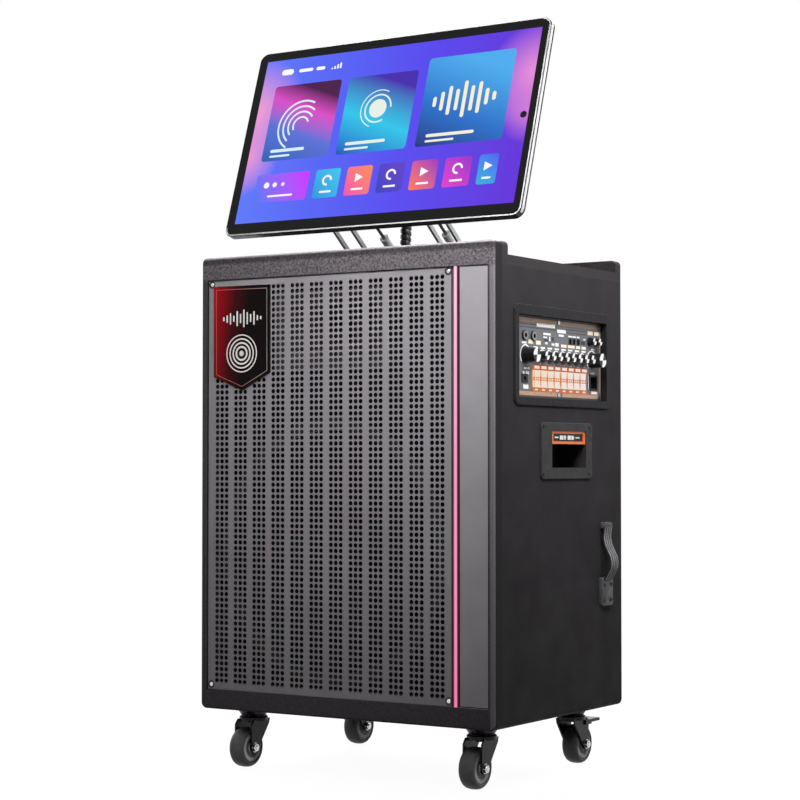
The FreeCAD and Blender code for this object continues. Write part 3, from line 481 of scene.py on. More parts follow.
class Piece:
    # one mesh, gathered from closed shapes that are drawn on a face

    def __init__(self, name, place):
        self.name = name
        self.place = place
        self.points = []
        self.faces = []

    def add(self, points, faces):
        first = len(self.points)
        self.points += [self.place(*point) for point in points]
        self.faces += [[first + i for i in face] for face in faces]

    def stack(self, loops, joined=False):
        # rings of points one after the other, capped at both ends or joined back to the first
        count = len(loops[0])
        levels = len(loops)
        faces = []
        if not joined:
            faces = [list(range(count))[::-1], [(levels - 1) * count + k for k in range(count)]]
        for level in range(levels if joined else levels - 1):
            first = level * count
            second = (level + 1) % levels * count
            for k in range(count):
                n = (k + 1) % count
                faces.append([first + k, first + n, second + n, second + k])
        self.add([point for loop in loops for point in loop], faces)

    def slab(self, outline, low, high, bevel=0.0):
        # a closed prism, with a chamfer around its upper edge if asked
        loops = [raised(outline, low), raised(outline, high - bevel)]
        if bevel > 0:
            loops.append(raised(inset(outline, bevel), high))
        self.stack(loops)

    def frame(self, outline, width, low, high):
        # a closed border of one width just inside an outline
        inner = inset(outline, width)
        loops = [raised(outline, low), raised(outline, high), raised(inner, high), raised(inner, low)]
        self.stack(loops, joined=True)

    def turned(self, u, v, profile, steps=24):
        # a profile of (radius, height) turned about the face's normal and closed at both ends
        self.stack([raised(disc(u, v, radius, steps), w) for radius, w in profile])

    def arc(self, u, v, inner, outer, start, stop, low, high, steps=16):
        # a closed band along an arc
        turns = [math.radians(start + (stop - start) * k / steps) for k in range(steps + 1)]
        outside = [(u + outer * math.cos(t), v + outer * math.sin(t)) for t in turns]
        inside = [(u + inner * math.cos(t), v + inner * math.sin(t)) for t in turns]
        self.band(outside, inside, low, high)

    def band(self, outer, inner, low, high):
        # a closed band between two open lines with as many points each
        steps = len(outer) - 1
        outline = outer + inner[::-1]
        count = len(outline)
        points = [(a, b, w) for w in (low, high) for a, b in outline]
        faces = []
        for k in range(count):
            n = (k + 1) % count
            faces.append([k, n, n + count, k + count])
        for k in range(steps):
            m = count - 1 - k
            faces.append([k + count, k + 1 + count, m - 1 + count, m + count])
            faces.append([m, m - 1, k + 1, k])
        self.add(points, faces)

    def done(self, material, body, slot, smooth=35.0):
        # the finished object, riding on its body
        mesh = bpy.data.meshes.new(self.name)
        mesh.from_pydata(self.points, [], self.faces)
        work = bmesh.new()
        work.from_mesh(mesh)
        bmesh.ops.recalc_face_normals(work, faces=work.faces)
        work.to_mesh(mesh)
        work.free()
        mesh.materials.append(material)
        for polygon in mesh.polygons:
            polygon.use_smooth = True
        mesh.set_sharp_from_angle(angle=math.radians(smooth))
        thing = placed(self.name, mesh)
        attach(thing, body)
        return thing


# Pierced grille with its round holes

PITCH = 8.41
HOLE = 3.25
HOLE_SIDES = 12
GROUPS = 12
COLUMNS = 4 * GROUPS - 1
ROWS = 69
EDGE = 0.6
THICKNESS = GRILLE_HIGH.y - GRILLE_LOW.y
first_u = (GRILLE_LOW.x + GRILLE_HIGH.x - COLUMNS * PITCH) / 2.0
first_v = (GRILLE_LOW.z + GRILLE_HIGH.z - ROWS * PITCH) / 2.0
lines_u = [GRILLE_LOW.x + EDGE] + [first_u + k * PITCH for k in range(COLUMNS + 1)] + [GRILLE_HIGH.x - EDGE]
lines_v = [GRILLE_LOW.z + EDGE] + [first_v + k * PITCH for k in range(ROWS + 1)] + [GRILLE_HIGH.z - EDGE]
grille = Piece("grille_plate", front)
wide = len(lines_u)
tall = len(lines_v)
points = [(u, v, w) for w in (0.0, -THICKNESS) for v in lines_v for u in lines_u]
back = wide * tall
faces = []
for j in range(tall - 1):
    for i in range(wide - 1):
        square = [j * wide + i, j * wide + i + 1, (j + 1) * wide + i + 1, (j + 1) * wide + i]
        pierced = 0 < i < wide - 2 and 0 < j < tall - 2 and (i - 1) % 4 != 3
        if not pierced:
            faces.append(square)
            faces.append([back + k for k in square[::-1]])
            continue
        cu = (lines_u[i] + lines_u[i + 1]) / 2.0
        cv = (lines_v[j] + lines_v[j + 1]) / 2.0
        ring = disc(cu, cv, HOLE, HOLE_SIDES, 225.0)
        top = len(points)
        points += [(u, v, w) for w in (0.0, -THICKNESS) for u, v in ring]
        per = HOLE_SIDES // 4
        for quarter in range(4):
            arc = [top + (quarter * per + k) % HOLE_SIDES for k in range(per + 1)]
            a = square[quarter]
            b = square[(quarter + 1) % 4]
            faces.append([a, b] + arc[::-1])
            faces.append([back + b, back + a] + [k + HOLE_SIDES for k in arc])
        for k in range(HOLE_SIDES):
            n = (k + 1) % HOLE_SIDES
            faces.append([top + n, top + k, top + k + HOLE_SIDES, top + n + HOLE_SIDES])
border = list(range(wide)) + [(j + 1) * wide - 1 for j in range(1, tall)]
border += [(tall - 1) * wide + i for i in range(wide - 2, -1, -1)]
border += [j * wide for j in range(tall - 2, 0, -1)]
rim_first = len(points)
for k in border:
    u, v, w = points[k]
    aside = (u > lines_u[-2]) - (u < lines_u[1])
    upward = (v > lines_v[-2]) - (v < lines_v[1])
    points.append((u + EDGE * aside, v + EDGE * upward, -EDGE))
count = len(border)
for k in range(count):
    n = (k + 1) % count
    faces.append([border[n], border[k], rim_first + k, rim_first + n])
    faces.append([rim_first + n, rim_first + k, back + border[k], back + border[n]])
grille.add(points, faces)
grille = grille.done(GRILLE, "cabinet", "grille", 30.0)
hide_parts("speaker_grille")

# Dark rings under the grille's dome screws
rings = Piece("grille_screw_rings", front)
for u in (GRILLE_LOW.x + 6.5, GRILLE_HIGH.x - 7.2):
    for v in (GRILLE_LOW.z + 7.3, GRILLE_HIGH.z - 6.3):
        rings.turned(u, v, [(5.6, 0.02), (5.6, 0.35), (5.2, 0.55), (3.6, 0.55)], 24)
rings.done(PRINT_DARK, "cabinet", "bright")

# Painted shadow: dark bands beside the light strip, where the grille and the trim shade it, and the dark gap
# around the trim panel
STRIP_SIDE = 2.4
STRIP_GAP = 0.15
GAP_LINE = 1.4
ON_GRILLE = (0.01, 0.06)
ON_TRIM = (0.41, 0.46)
lines_foot = GRILLE_LOW.z + 0.7
lines_head = GRILLE_HIGH.z - 0.7
left_edge = GRILLE_HIGH.x - STRIP_GAP
right_edge = TRIM_LOW.x + STRIP_GAP
edges = Piece("strip_shadow_bands", front)
edges.slab(rectangle(left_edge - STRIP_SIDE, lines_foot, left_edge, lines_head), *ON_GRILLE)
edges.slab(rectangle(right_edge, lines_foot, right_edge + STRIP_SIDE, lines_head), *ON_TRIM)
edges.done(STRIP_SHADOW_PAINT, "cabinet", "grille")
gap_right = TRIM_HIGH.x - 0.5
gap_foot = TRIM_LOW.z + 0.6
gap = Piece("trim_gap_lines", front)
gap.slab(rectangle(gap_right - GAP_LINE, gap_foot, gap_right, lines_head), *ON_TRIM)
gap.slab(rectangle(right_edge + STRIP_SIDE, gap_foot, gap_right - GAP_LINE, gap_foot + 1.2), *ON_TRIM)
gap.done(BLACK_STEEL, "cabinet", "grille")

# Badge plate on the grille, with a plain sound motif
BADGE = [(-227.1, 570.9), (-175.8, 550.9), (-126.3, 575.3), (-126.7, 701.8), (-227.7, 702.7)]
BADGE_TOP = 2.2
MOTIF_LOW = 2.1
BADGE_RED, tree, shader = new_material("badge_enamel")
enamel = ramp(tree, slope(tree, (1, 0, -0.12), -0.312, -0.205), [
    (0.0, linear(214, 22, 42)), (0.12, linear(168, 14, 26)), (0.38, linear(70, 5, 11)),
    (0.62, linear(16, 3, 4)), (1.0, linear(8, 5, 6))])
feed(tree, shader, {"Base Color": enamel, "Specular IOR Level": 0.06})
uneven_gloss(tree, shader, coordinates(tree), 200.0, 0.12, 0.22)
plaque = Piece("badge_plate", front)
plaque.slab(BADGE, 0.05, BADGE_TOP, 0.5)
plaque.done(BADGE_RED, "cabinet", "trim")
BADGE_LINE, tree, shader = new_material("badge_line")
line_shade = ramp(tree, slope(tree, (1, 0, 0), -0.224, -0.13), [
    (0.0, linear(236, 92, 92)), (0.5, linear(190, 120, 116)), (1.0, linear(176, 160, 156))])
tree.links.new(line_shade, shader.inputs["Base Color"])
uneven_gloss(tree, shader, coordinates(tree), 300.0, 0.3, 0.45)
line = Piece("badge_border", front)
line.frame(inset(BADGE, 4.2), 0.7, MOTIF_LOW, 2.32)
line.done(BADGE_LINE, "cabinet", "bright")
edge = Piece("badge_edge", front)
edge.frame(inset(BADGE, -0.6), 1.6, 0.06, 1.9)
edge.done(SCREW_DARK, "cabinet", "trim")
BAR_HEIGHTS = (6, 11, 17, 9, 22, 14, 26, 18, 12, 20, 8, 5)
BAR_PITCH = 6.1
BAR_WIDTH = 2.6
BARS_LEFT = -210.5
BARS_MIDDLE = 655.0
bars = Piece("badge_motif", front)
for k, height in enumerate(BAR_HEIGHTS):
    u = BARS_LEFT + k * BAR_PITCH
    outline = rounded(u, BARS_MIDDLE - height / 2.0, u + BAR_WIDTH, BARS_MIDDLE + height / 2.0, 1.2, 3)
    bars.slab(outline, MOTIF_LOW, 2.36, 0.1)
bars.done(PRINT_WHITE, "cabinet", "bright")
RINGS_AT = (-176.6, 604.0)
rings = Piece("badge_rings", front)
for k in range(4):
    inner = 8.0 + 6.0 * k
    rings.arc(*RINGS_AT, inner, inner + 3.0 - 0.4 * k, 0, 359.9, MOTIF_LOW, 2.34, 40)
rings.turned(*RINGS_AT, [(4.2, MOTIF_LOW), (4.2, 2.3), (3.7, 2.5)], 24)
rings.done(PRINT_WHITE, "cabinet", "bright")

# Screen picture: plain coloured cards in a simple menu

ACROSS = (1, 0, 0)
UPWARD = (0, math.sin(LEAN), math.cos(LEAN))
GROUND_LEVEL = 0.02
CARD_LEVEL = 0.10
CARD_DEPTH = 0.06
MARKS = (0.18, 0.23)


def picture(name, stops, first, last, outline, level):
    # a lit card on the glass whose colours run from one point to the other
    run = Vector((last[0] - first[0], 0, 0)) + Vector(UPWARD) * (last[1] - first[1])
    length = run.length
    run.normalize()
    start = Vector(screen(first[0], first[1], 0.0)).dot(run)
    card = Piece(name, screen)
    card.slab(outline, level, level + CARD_DEPTH)
    material = lit(name + "_light", tuple(run), start, start + length * MM, stops, 1.0, 0.08)
    return card.done(material, "screen", "display")


# Ground whose colour runs across, with pink glows at both sides: middle, inner and outer reach, colour
PICTURE = (-239.5, 20.0, 241.0, 291.2)
GROUND_STOPS = [
    (0.0, linear(92, 118, 248)), (0.30, linear(82, 96, 244)), (0.60, linear(84, 68, 237)),
    (1.0, linear(94, 38, 214))]
GLOWS = [
    (-247, 205, 12, 92, linear(240, 156, 206)), (-247, 130, 6, 66, linear(236, 150, 206)),
    (247, 218, 14, 88, linear(230, 140, 214)), (247, 165, 6, 56, linear(206, 120, 216))]
ground = picture(
    "picture_ground", GROUND_STOPS, (PICTURE[0], 60), (PICTURE[2], 60), rectangle(*PICTURE), GROUND_LEVEL)
ground_light = ground.data.materials[0]
ground_tree = ground_light.node_tree
for u, v, near, far, colour in GLOWS:
    middle = screen(u, v, 0.0)
    away = combined(ground_tree, "ShaderNodeVectorMath", "DISTANCE", here(ground_tree), middle)
    share = mapped(ground_tree, away, near * MM, far * MM, 0.95, 0.0)
    tinted(ground_light, share, colour, "Emission Color")

CARDS = [
    ("card_wide", (60.0, 120.0, 205.0, 262.0), [
        (0.0, linear(20, 40, 120)), (0.45, linear(28, 110, 200)), (1.0, linear(72, 170, 236))]),
    ("card_tall_1", (-214.0, 120.0, -92.0, 246.0), [
        (0.0, linear(26, 96, 178)), (0.45, linear(90, 110, 214)), (0.75, linear(216, 74, 196)),
        (1.0, linear(70, 14, 70))]),
    ("card_tall_2", (-78.0, 120.0, 44.0, 246.0), [
        (0.0, linear(22, 70, 190)), (0.5, linear(40, 196, 232)), (1.0, linear(66, 34, 170))])]
for name, (u0, v0, u1, v1), stops in CARDS:
    picture(name, stops, (u0, v0), (u1 * 0.4 + u0 * 0.6, v1), rounded(u0, v0, u1, v1, 5.0), CARD_LEVEL)

# Tiles: left side, width, and the colours at both ends
TILE_FOOT = 52.0
TILE_HEAD = 98.0
TILES = [
    (-214.0, 96.0, linear(66, 120, 248), linear(204, 40, 250)),
    (-106.0, 44.0, linear(34, 150, 220), linear(60, 196, 236)),
    (-50.0, 44.0, linear(240, 78, 168), linear(252, 140, 60)),
    (6.0, 44.0, linear(56, 60, 190), linear(96, 60, 200)),
    (62.0, 44.0, linear(250, 120, 60), linear(150, 40, 190)),
    (118.0, 44.0, linear(228, 54, 200), linear(140, 44, 200)),
    (174.0, 31.0, linear(40, 176, 214), linear(70, 90, 240))]
for k, (u, width, near, far) in enumerate(TILES):
    outline = rounded(u, TILE_FOOT, u + width, TILE_HEAD, 4.0)
    stops = [(0.0, near), (1.0, far)]
    picture("tile_%d" % (k + 1), stops, (u, TILE_FOOT), (u + width, TILE_HEAD), outline, CARD_LEVEL)


def pale_marks(name, first, last, draw):
    # lit marks over the cards, from one pale colour on the left to another on the right
    marks = Piece(name, screen)
    draw(marks)
    material = lit(name + "_light", ACROSS, -0.25, 0.25, [(0.0, first), (1.0, last)], 1.0, 0.1)
    marks.done(material, "screen", "display")


def status(marks):
    # a pill, two dashes and four rising bars in the upper left
    marks.slab(rounded(-208.0, 264.5, -186.0, 274.0, 4.6), *MARKS)
    marks.slab(rounded(-176.0, 266.5, -150.0, 272.0, 2.6), *MARKS)
    marks.slab(rounded(-144.0, 266.5, -128.0, 272.0, 2.6), *MARKS)
    for k in range(4):
        u = -116.0 + 5.0 * k
        marks.slab(rounded(u, 265.0, u + 3.0, 267.5 + 2.4 * k, 1.0, 2), *MARKS)


def motifs(marks):
    # sound bars, arcs and a disc on the three cards, each over two dashes
    for k, height in enumerate((16, 30, 46, 34, 58, 40, 50, 26, 14)):
        u = 78.0 + 12.4 * k
        marks.slab(rounded(u, 190.0 - height / 2.0, u + 6.0, 190.0 + height / 2.0, 2.8, 3), *MARKS)
    for k in range(4):
        inner = 12.0 + 9.0 * k
        marks.arc(-153.0, 176.0, inner, inner + 3.0, 20 + 14 * k, 210 + 10 * k, *MARKS, 24)
    marks.slab(disc(-17.0, 190.0, 15.0, 28), *MARKS)
    marks.arc(-17.0, 190.0, 21.0, 23.5, 0, 300, *MARKS, 32)
    marks.arc(-17.0, 190.0, 29.0, 30.6, 60, 250, *MARKS, 32)
    for u, width in ((-200.0, 62.0), (-64.0, 70.0), (76.0, 80.0)):
        marks.slab(rounded(u, 134.0, u + width, 139.0, 2.4), *MARKS)
        marks.slab(rounded(u, 126.0, u + width * 0.6, 129.4, 1.6), *MARKS)


def symbols(marks):
    # dots, open rings or triangles on the tiles, each over a dash
    for k, (u, width, near, far) in enumerate(TILES):
        cu = u + width / 2.0
        if k == 0:
            for n in range(3):
                marks.slab(disc(u + 20.0 + 15.0 * n, 80.0, 5.0 - n, 20), *MARKS)
        elif k % 2:
            marks.arc(cu, 80.0, 5.4, 8.6, 0, 280, *MARKS, 24)
        else:
            marks.slab([(cu - 6.0, 73.0), (cu + 7.5, 80.0), (cu - 6.0, 87.0)], *MARKS)
        marks.slab(rounded(cu - width * 0.24, 60.0, cu + width * 0.24, 63.2, 1.5), *MARKS)


pale_marks("picture_status", linear(250, 250, 255), linear(250, 250, 255), status)
pale_marks("picture_motifs", linear(206, 240, 255), linear(255, 236, 196), motifs)
pale_marks("picture_symbols", linear(255, 240, 250), linear(250, 250, 255), symbols)

# Painted highlight: a bright line only under and to the right of the glass, where its edge catches the light;
# silver bands on the two side flanks only, left out along the shaded bottom; and the key on the bezel
CORNER_STEPS = 8
PER_CORNER = CORNER_STEPS + 1
highlight_and_bands = Piece("glass_edge_highlight_and_bands", screen)
glass_ring = rounded(-254.0, 1.0, 254.0, 305.0, 13.0, CORNER_STEPS)
inner_ring = inset(glass_ring, 2.0)
lower, lower_inner = [ring[3 * PER_CORNER:] + ring[:2 * PER_CORNER] for ring in (glass_ring, inner_ring)]
highlight_and_bands.band(lower, lower_inner, -0.5, 0.55)
flank_ring = rounded(-255.2, -0.2, 255.2, 306.2, 14.2, CORNER_STEPS)
flank_inner = inset(flank_ring, 0.6)
for corner in (PER_CORNER, 3 * PER_CORNER):
    flank = slice(corner - CORNER_STEPS // 2, corner + CORNER_STEPS // 2)
    highlight_and_bands.band(flank_ring[flank], flank_inner[flank], -6.8, -1.4)
highlight_and_bands.done(RIM, "screen", "rim")
key = Piece("bezel_key", screen)
key.turned(233.5, 155.0, [(5.2, 0.02), (5.2, 0.4), (4.6, 0.6), (3.2, 0.45), (3.0, 0.3)], 28)
key.done(GLASS, "screen", "display")

# Printed face of the control plate
LARGE = [middle_of("knob_large_front"), middle_of("knob_large_back")]
SMALL = [middle_of("knob_small_%d" % (i + 1)) for i in range(8)]
KEYS = [middle_of("key_%d" % (i + 1))[0] for i in range(8)]
KEY_PITCH = KEYS[1] - KEYS[0]
KEYS_MIDDLE = (KEYS[0] + KEYS[-1]) / 2.0
STRIP_PRINT = (0.01, 0.10)
PRINT = (0.01, 0.09)
LINE_PRINT = (0.01, 0.08)
OVERPRINT = (0.10, 0.16)
LIT_PRINT = (0.09, 0.16)
copper = Piece("print_copper_strips", side)
for u0, u1 in ((-115.0, -1.0), (9.5, 123.0)):
    copper.slab(rectangle(u0, 640.4, u1, 645.8), *STRIP_PRINT)
    copper.slab(rectangle(u0 + 6.0, 538.8, u1, 544.2), *STRIP_PRINT)
copper.slab(rectangle(129.6, 548.0, 133.6, 636.0), *LINE_PRINT)
copper.done(PRINT_COPPER, "cabinet", "plate")
# Printed orange field around the keys, lit by a painted glow
field = Piece("print_orange_field", side)
field_foot = KEY_LOW.z - 0.6
field_head = KEY_HIGH.z + 0.4
for u0, u1 in ((-72.0, 3.2), (4.9, 93.0)):
    field.slab(rectangle(u0, field_head, u1, field_head + 7.2), *PRINT)
    field.slab(rectangle(u0, field_foot - 5.0, u1, field_foot), *PRINT)
for k in range(9):
    u = KEYS_MIDDLE + (k - 4) * KEY_PITCH
    field.slab(rectangle(u - 1.6, field_foot, u + 1.6, field_head), *PRINT)
field.done(FIELD_PAINTED_GLOW, "cabinet", "plate")
# Printed labels with a painted glow, standing in for the light that the knobs' shade takes from them
labels = Piece("labels_painted_glow", side)
for k in range(8):
    u = -59.0 + 20.3 * k
    labels.slab(rectangle(u - 7.2, 576.4, u + 7.2, 580.4), *LIT_PRINT)
    labels.slab(rectangle(u - 5.6, 546.0, u + 2.6, 548.2), *LIT_PRINT)
labels.done(KEY_GLOW, "cabinet", "plate")

# Printed blocks, each by two opposite corners
CREAM_BLOCKS = [
    (93.5, 631.3, 109.6, 636.8), (114.0, 631.3, 128.0, 636.8), (-83.2, 610.5, -69.7, 616.0),
    (-61.4, 610.0, -47.8, 615.6), (-35.1, 611.6, -27.7, 614.7), (12.1, 609.4, 28.5, 613.6),
    (32.9, 609.4, 52.9, 613.6), (57.3, 609.4, 69.6, 613.6), (74.1, 609.2, 87.7, 613.4),
    (101.2, 573.8, 115.0, 577.2), (104.5, 545.2, 122.9, 549.2)]
WHITE_BLOCKS = [
    (0.6, 629.6, 26.4, 634.4), (5.0, 624.6, 19.8, 627.6), (-101.6, 609.9, -88.3, 612.8),
    (-40.4, 624.6, -18.6, 627.6), (-40.4, 620.4, -29.0, 622.4), (-23.4, 616.4, -19.6, 623.0),
    (-16.0, 610.6, -7.6, 613.8), (-5.2, 609.8, 4.5, 614.8), (34.1, 625.0, 45.1, 627.2),
    (46.4, 625.0, 57.2, 627.2), (59.6, 625.0, 68.6, 627.2), (79.9, 623.0, 86.7, 624.8),
    (103.7, 609.6, 117.5, 611.8), (-96.7, 574.6, -80.2, 577.4), (-99.7, 567.2, -93.6, 571.8),
    (-90.5, 567.2, -81.6, 571.8), (-97.8, 547.6, -83.4, 553.2), (95.6, 551.0, 96.9, 572.0)]
creams = Piece("print_cream_labels", side)
for block in CREAM_BLOCKS:
    creams.slab(rectangle(*block), *PRINT)
creams.done(PRINT_CREAM, "cabinet", "plate")
whites = Piece("print_white_marks", side)
whites.slab(rectangle(-59.2, 635.2, -6.2, 640.2), *OVERPRINT)
for spots, radius, width in ((LARGE, 13.4, 1.8), (SMALL, 8.7, 1.3)):
    for u, v in spots:
        whites.arc(u, v, radius, radius + width, -40, 220, *PRINT, 24)
for k in range(8):
    u = -62.4 + 20.4 * k
    whites.slab(rectangle(u - 6.4, 604.9, u + 6.4, 607.3), *OVERPRINT)
    whites.slab(rectangle(u + 12.0, 582.6, u + 17.6, 584.0), *PRINT)
    whites.slab(rectangle(u + 19.0, 582.6, u + 24.6, 584.0), *PRINT)
for block in WHITE_BLOCKS:
    whites.slab(rectangle(*block), *PRINT)
whites.done(PRINT_WHITE, "cabinet", "plate")
# The first two dark blocks are painted shade along the top and bottom edges of the plate's recess; the others
# are dark print
DARK_PRINT_AND_SHADE_BLOCKS = [
    (-126.0, 646.4, 134.1, 649.1), (-126.0, 535.4, 134.1, 538.0), (-16.0, 616.6, -9.0, 622.4),
    (-38.0, 616.0, -26.0, 618.6), (72.0, 616.2, 84.0, 620.6)]
dark_print_and_shade = Piece("print_dark_lines_and_painted_shade", side)
for block in DARK_PRINT_AND_SHADE_BLOCKS:
    dark_print_and_shade.slab(rectangle(*block), *LINE_PRINT)
for v in (636.8, 632.4):
    dark_print_and_shade.slab(rectangle(-116.0, v, -1.0, v + 1.2), *LINE_PRINT)
    dark_print_and_shade.slab(rectangle(27.5, v - 2.0, 90.0, v - 0.8), *LINE_PRINT)
for u, v in LARGE:
    dark_print_and_shade.slab(disc(u, v, 12.6, 28), 0.01, 0.07)
dark_print_and_shade.done(PRINT_DARK, "cabinet", "plate")

# Bright nuts of the two jacks
nuts = Piece("jack_nuts", side)
for u in (-94.64, -69.95):
    nuts.arc(u, 621.5, 3.5, 6.1, 0, 359.9, 2.45, 2.75, 28)
nuts.done(HEATSINK, "cabinet", "bright")

# Orange band with pale dots across the middle of each key, and orange lines along its two sides
KEY_HALF = 9.1
THIN_LINE = 0.45
SEAM_LINE = 1.3
line_top = KEY_HIGH.x - PLATE_X + 0.05
line_foot = KEY_LOW.z + 0.4
line_head = KEY_HIGH.z - 0.6
for k, u in enumerate(KEYS):
    name = "key_%d" % (k + 1)
    left_line = SEAM_LINE if k == 4 else THIN_LINE
    right_line = SEAM_LINE if k == 3 else THIN_LINE
    band = Piece(name + "_band", side)
    band.slab(rectangle(u - KEY_HALF, 559.6, u + KEY_HALF, 564.4), 2.4, 3.5)
    band.slab(rectangle(u - KEY_HALF, line_foot, u - KEY_HALF + left_line, line_head), 1.0, line_top)
    band.slab(rectangle(u + KEY_HALF - right_line, line_foot, u + KEY_HALF, line_head), 1.0, line_top)
    band.done(BAND_GLOW, name, "key")
    dots = Piece(name + "_dots", side)
    for step in (-7.0, -1.6, 3.8):
        dots.slab(rounded(u + step, 560.5, u + step + 3.4, 563.5, 1.0, 2), 3.45, 3.6)
    dots.done(KEY_GLOW, name, "key")

# Painted highlight: two opposite bright sectors on the end of each knob, standing in for the sheen of its
# spun metal cap
for name in KNOBS:
    low, high = span(name)
    u, v = middle_of(name)
    grip = (high.z - low.z) / 2.0 - 1.8
    face = high.x - PLATE_X
    cap_highlight = Piece(name + "_cap_highlight", side)
    for start, stop in ((78, 184), (258, 364)):
        turns = [math.radians(start + (stop - start) * k / 12.0) for k in range(13)]
        outline = [(u, v)] + [(u + grip * math.cos(t), v + grip * math.sin(t)) for t in turns]
        cap_highlight.slab(outline, face - 0.1, face + 0.45)
    cap_highlight.done(CAP_PAINTED_HIGHLIGHT, name, "bright")

# Screws of the hand cup, and the insert's dark window with pale marks
cup_screws = Piece("cup_screws", skin)
for u in (CUP_LOW.y + 8.0, CUP_HIGH.y - 8.0):
    for v in (CUP_LOW.z + 7.0, CUP_HIGH.z - 6.0):
        cup_screws.turned(u, v, [(3.4, 2.9), (3.4, 3.3), (2.8, 3.9), (1.6, 4.0), (1.4, 3.5)], 18)
cup_screws.done(SCREW_DARK, "cabinet", "cup")
window_outline = rounded(
    INSERT_LOW.y + 6.4, INSERT_LOW.z + 3.9, INSERT_HIGH.y - 6.4, INSERT_HIGH.z - 3.9, 1.2, 3)
window = Piece("insert_window", skin)
window.slab(window_outline, -0.48, -0.2, 0.1)
window.done(BLACK_STEEL, "cabinet", "insert")
# Left end, right end and half height of each mark
INSERT_MARKS = [
    (-20.0, -9.0, 0.9), (-5.0, 6.0, 3.0), (7.6, 13.0, 3.0), (18.0, 28.0, 3.0), (29.6, 37.0, 3.0),
    (42.0, 54.0, 0.9)]
insert_middle = (INSERT_LOW.z + INSERT_HIGH.z) / 2.0
level_marks = Piece("insert_marks", skin)
for left, right, half in INSERT_MARKS:
    outline = rounded(left, insert_middle - half, right, insert_middle + half, 0.8, 2)
    level_marks.slab(outline, -0.22, -0.08)
level_marks.done(PRINT_WHITE, "cabinet", "insert")

# Strap handles: ribbed rubber bands bowed between their two fixings
STRAP_MIDDLE = (STRAP_BOX_LOW.y + STRAP_BOX_HIGH.y) / 2.0
STRAP_FOOT = STRAP_BOX_LOW.z
STRAP_HEAD = STRAP_BOX_HIGH.z
STRAP_STEPS = 40
BAND_HALF = 12.4
RIB_HALF = 1.6
RIB_PITCH = 6.27
# Distance of the strap from the wall at even steps from its lower end to its upper end
STRAP_BOW = (3.0, 8.0, 12.5, 13.5, 11.5, 7.0, 3.0, 1.2, 1.8, 3.6)


def swept(piece, middle, half, under, over):
    # a strip of the strap, following its bow from the lower fixing to the upper one
    near = middle - half
    far = middle + half
    soft = min(0.8, 0.44 * half)
    foot = STRAP_FOOT + 38.0
    head = STRAP_HEAD - 7.0
    loops = []
    for k in range(STRAP_STEPS + 1):
        t = k / STRAP_STEPS
        v = foot + t * (head - foot)
        place = min(t * (len(STRAP_BOW) - 1), len(STRAP_BOW) - 1.001)
        before = int(place)
        ease = place - before
        bow = 1.5 + STRAP_BOW[before] * (1.0 - ease) + STRAP_BOW[before + 1] * ease
        low = bow + under
        high = bow + over
        loops.append([
            (near, v, low), (near, v, high - soft), (near + soft, v, high),
            (far - soft, v, high), (far, v, high - soft), (far, v, low)])
    piece.stack(loops)


def fixing(half, low, high, radius):
    # the outline of a fixing about the strap's middle
    return rounded(STRAP_MIDDLE - half, low, STRAP_MIDDLE + half, high, radius)


for hand, sign in (("right", 1), ("left", -1)):
    def beside(u, v, w, sign=sign):
        # on the outer face of one side
        return (sign * (WALL_X + w) * MM, u * MM, v * MM)

    strap = Piece("strap_" + hand, beside)
    band = Piece("strap_band_" + hand, beside)
    swept(band, STRAP_MIDDLE, BAND_HALF, 0.2, 2.6)
    band.done(SOCKET, "cabinet", "strap", 50.0)
    ribs = Piece("strap_ribs_" + hand, beside)
    for n in range(4):
        swept(ribs, STRAP_MIDDLE + (n - 1.5) * RIB_PITCH, RIB_HALF, 1.0, 3.4)
    ribs.done(STRAP_RIB, "cabinet", "strap", 50.0)
    strap.slab(fixing(17.0, STRAP_FOOT, STRAP_FOOT + 42.0, 4.0), 0.0, 6.0, 1.2)
    strap.slab(fixing(13.0, STRAP_HEAD - 11.0, STRAP_HEAD - 1.0, 3.0), 0.0, 7.0, 1.2)
    thing = strap.done(STRAP, "cabinet", "strap", 50.0)
    if sign > 0:
        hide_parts("strap_handles")
    screws = Piece("strap_screws_" + hand, beside)
    for u in (STRAP_MIDDLE - 10.5, STRAP_MIDDLE + 10.5):
        for v in (STRAP_FOOT + 8.5, STRAP_FOOT + 31.0):
            screws.turned(u, v, [(3.3, 5.8), (3.3, 6.4), (2.7, 7.1), (1.5, 7.2), (1.3, 6.6)], 18)
    screws.done(SCREW_DARK, "cabinet", "strap")
    bar = Piece("strap_bar_" + hand, beside)
    bar.slab(fixing(10.0, STRAP_HEAD - 9.0, STRAP_HEAD - 5.6, 1.4), 6.8, 7.5, 0.3)
    bar.done(SCREW_DARK, "cabinet", "strap")

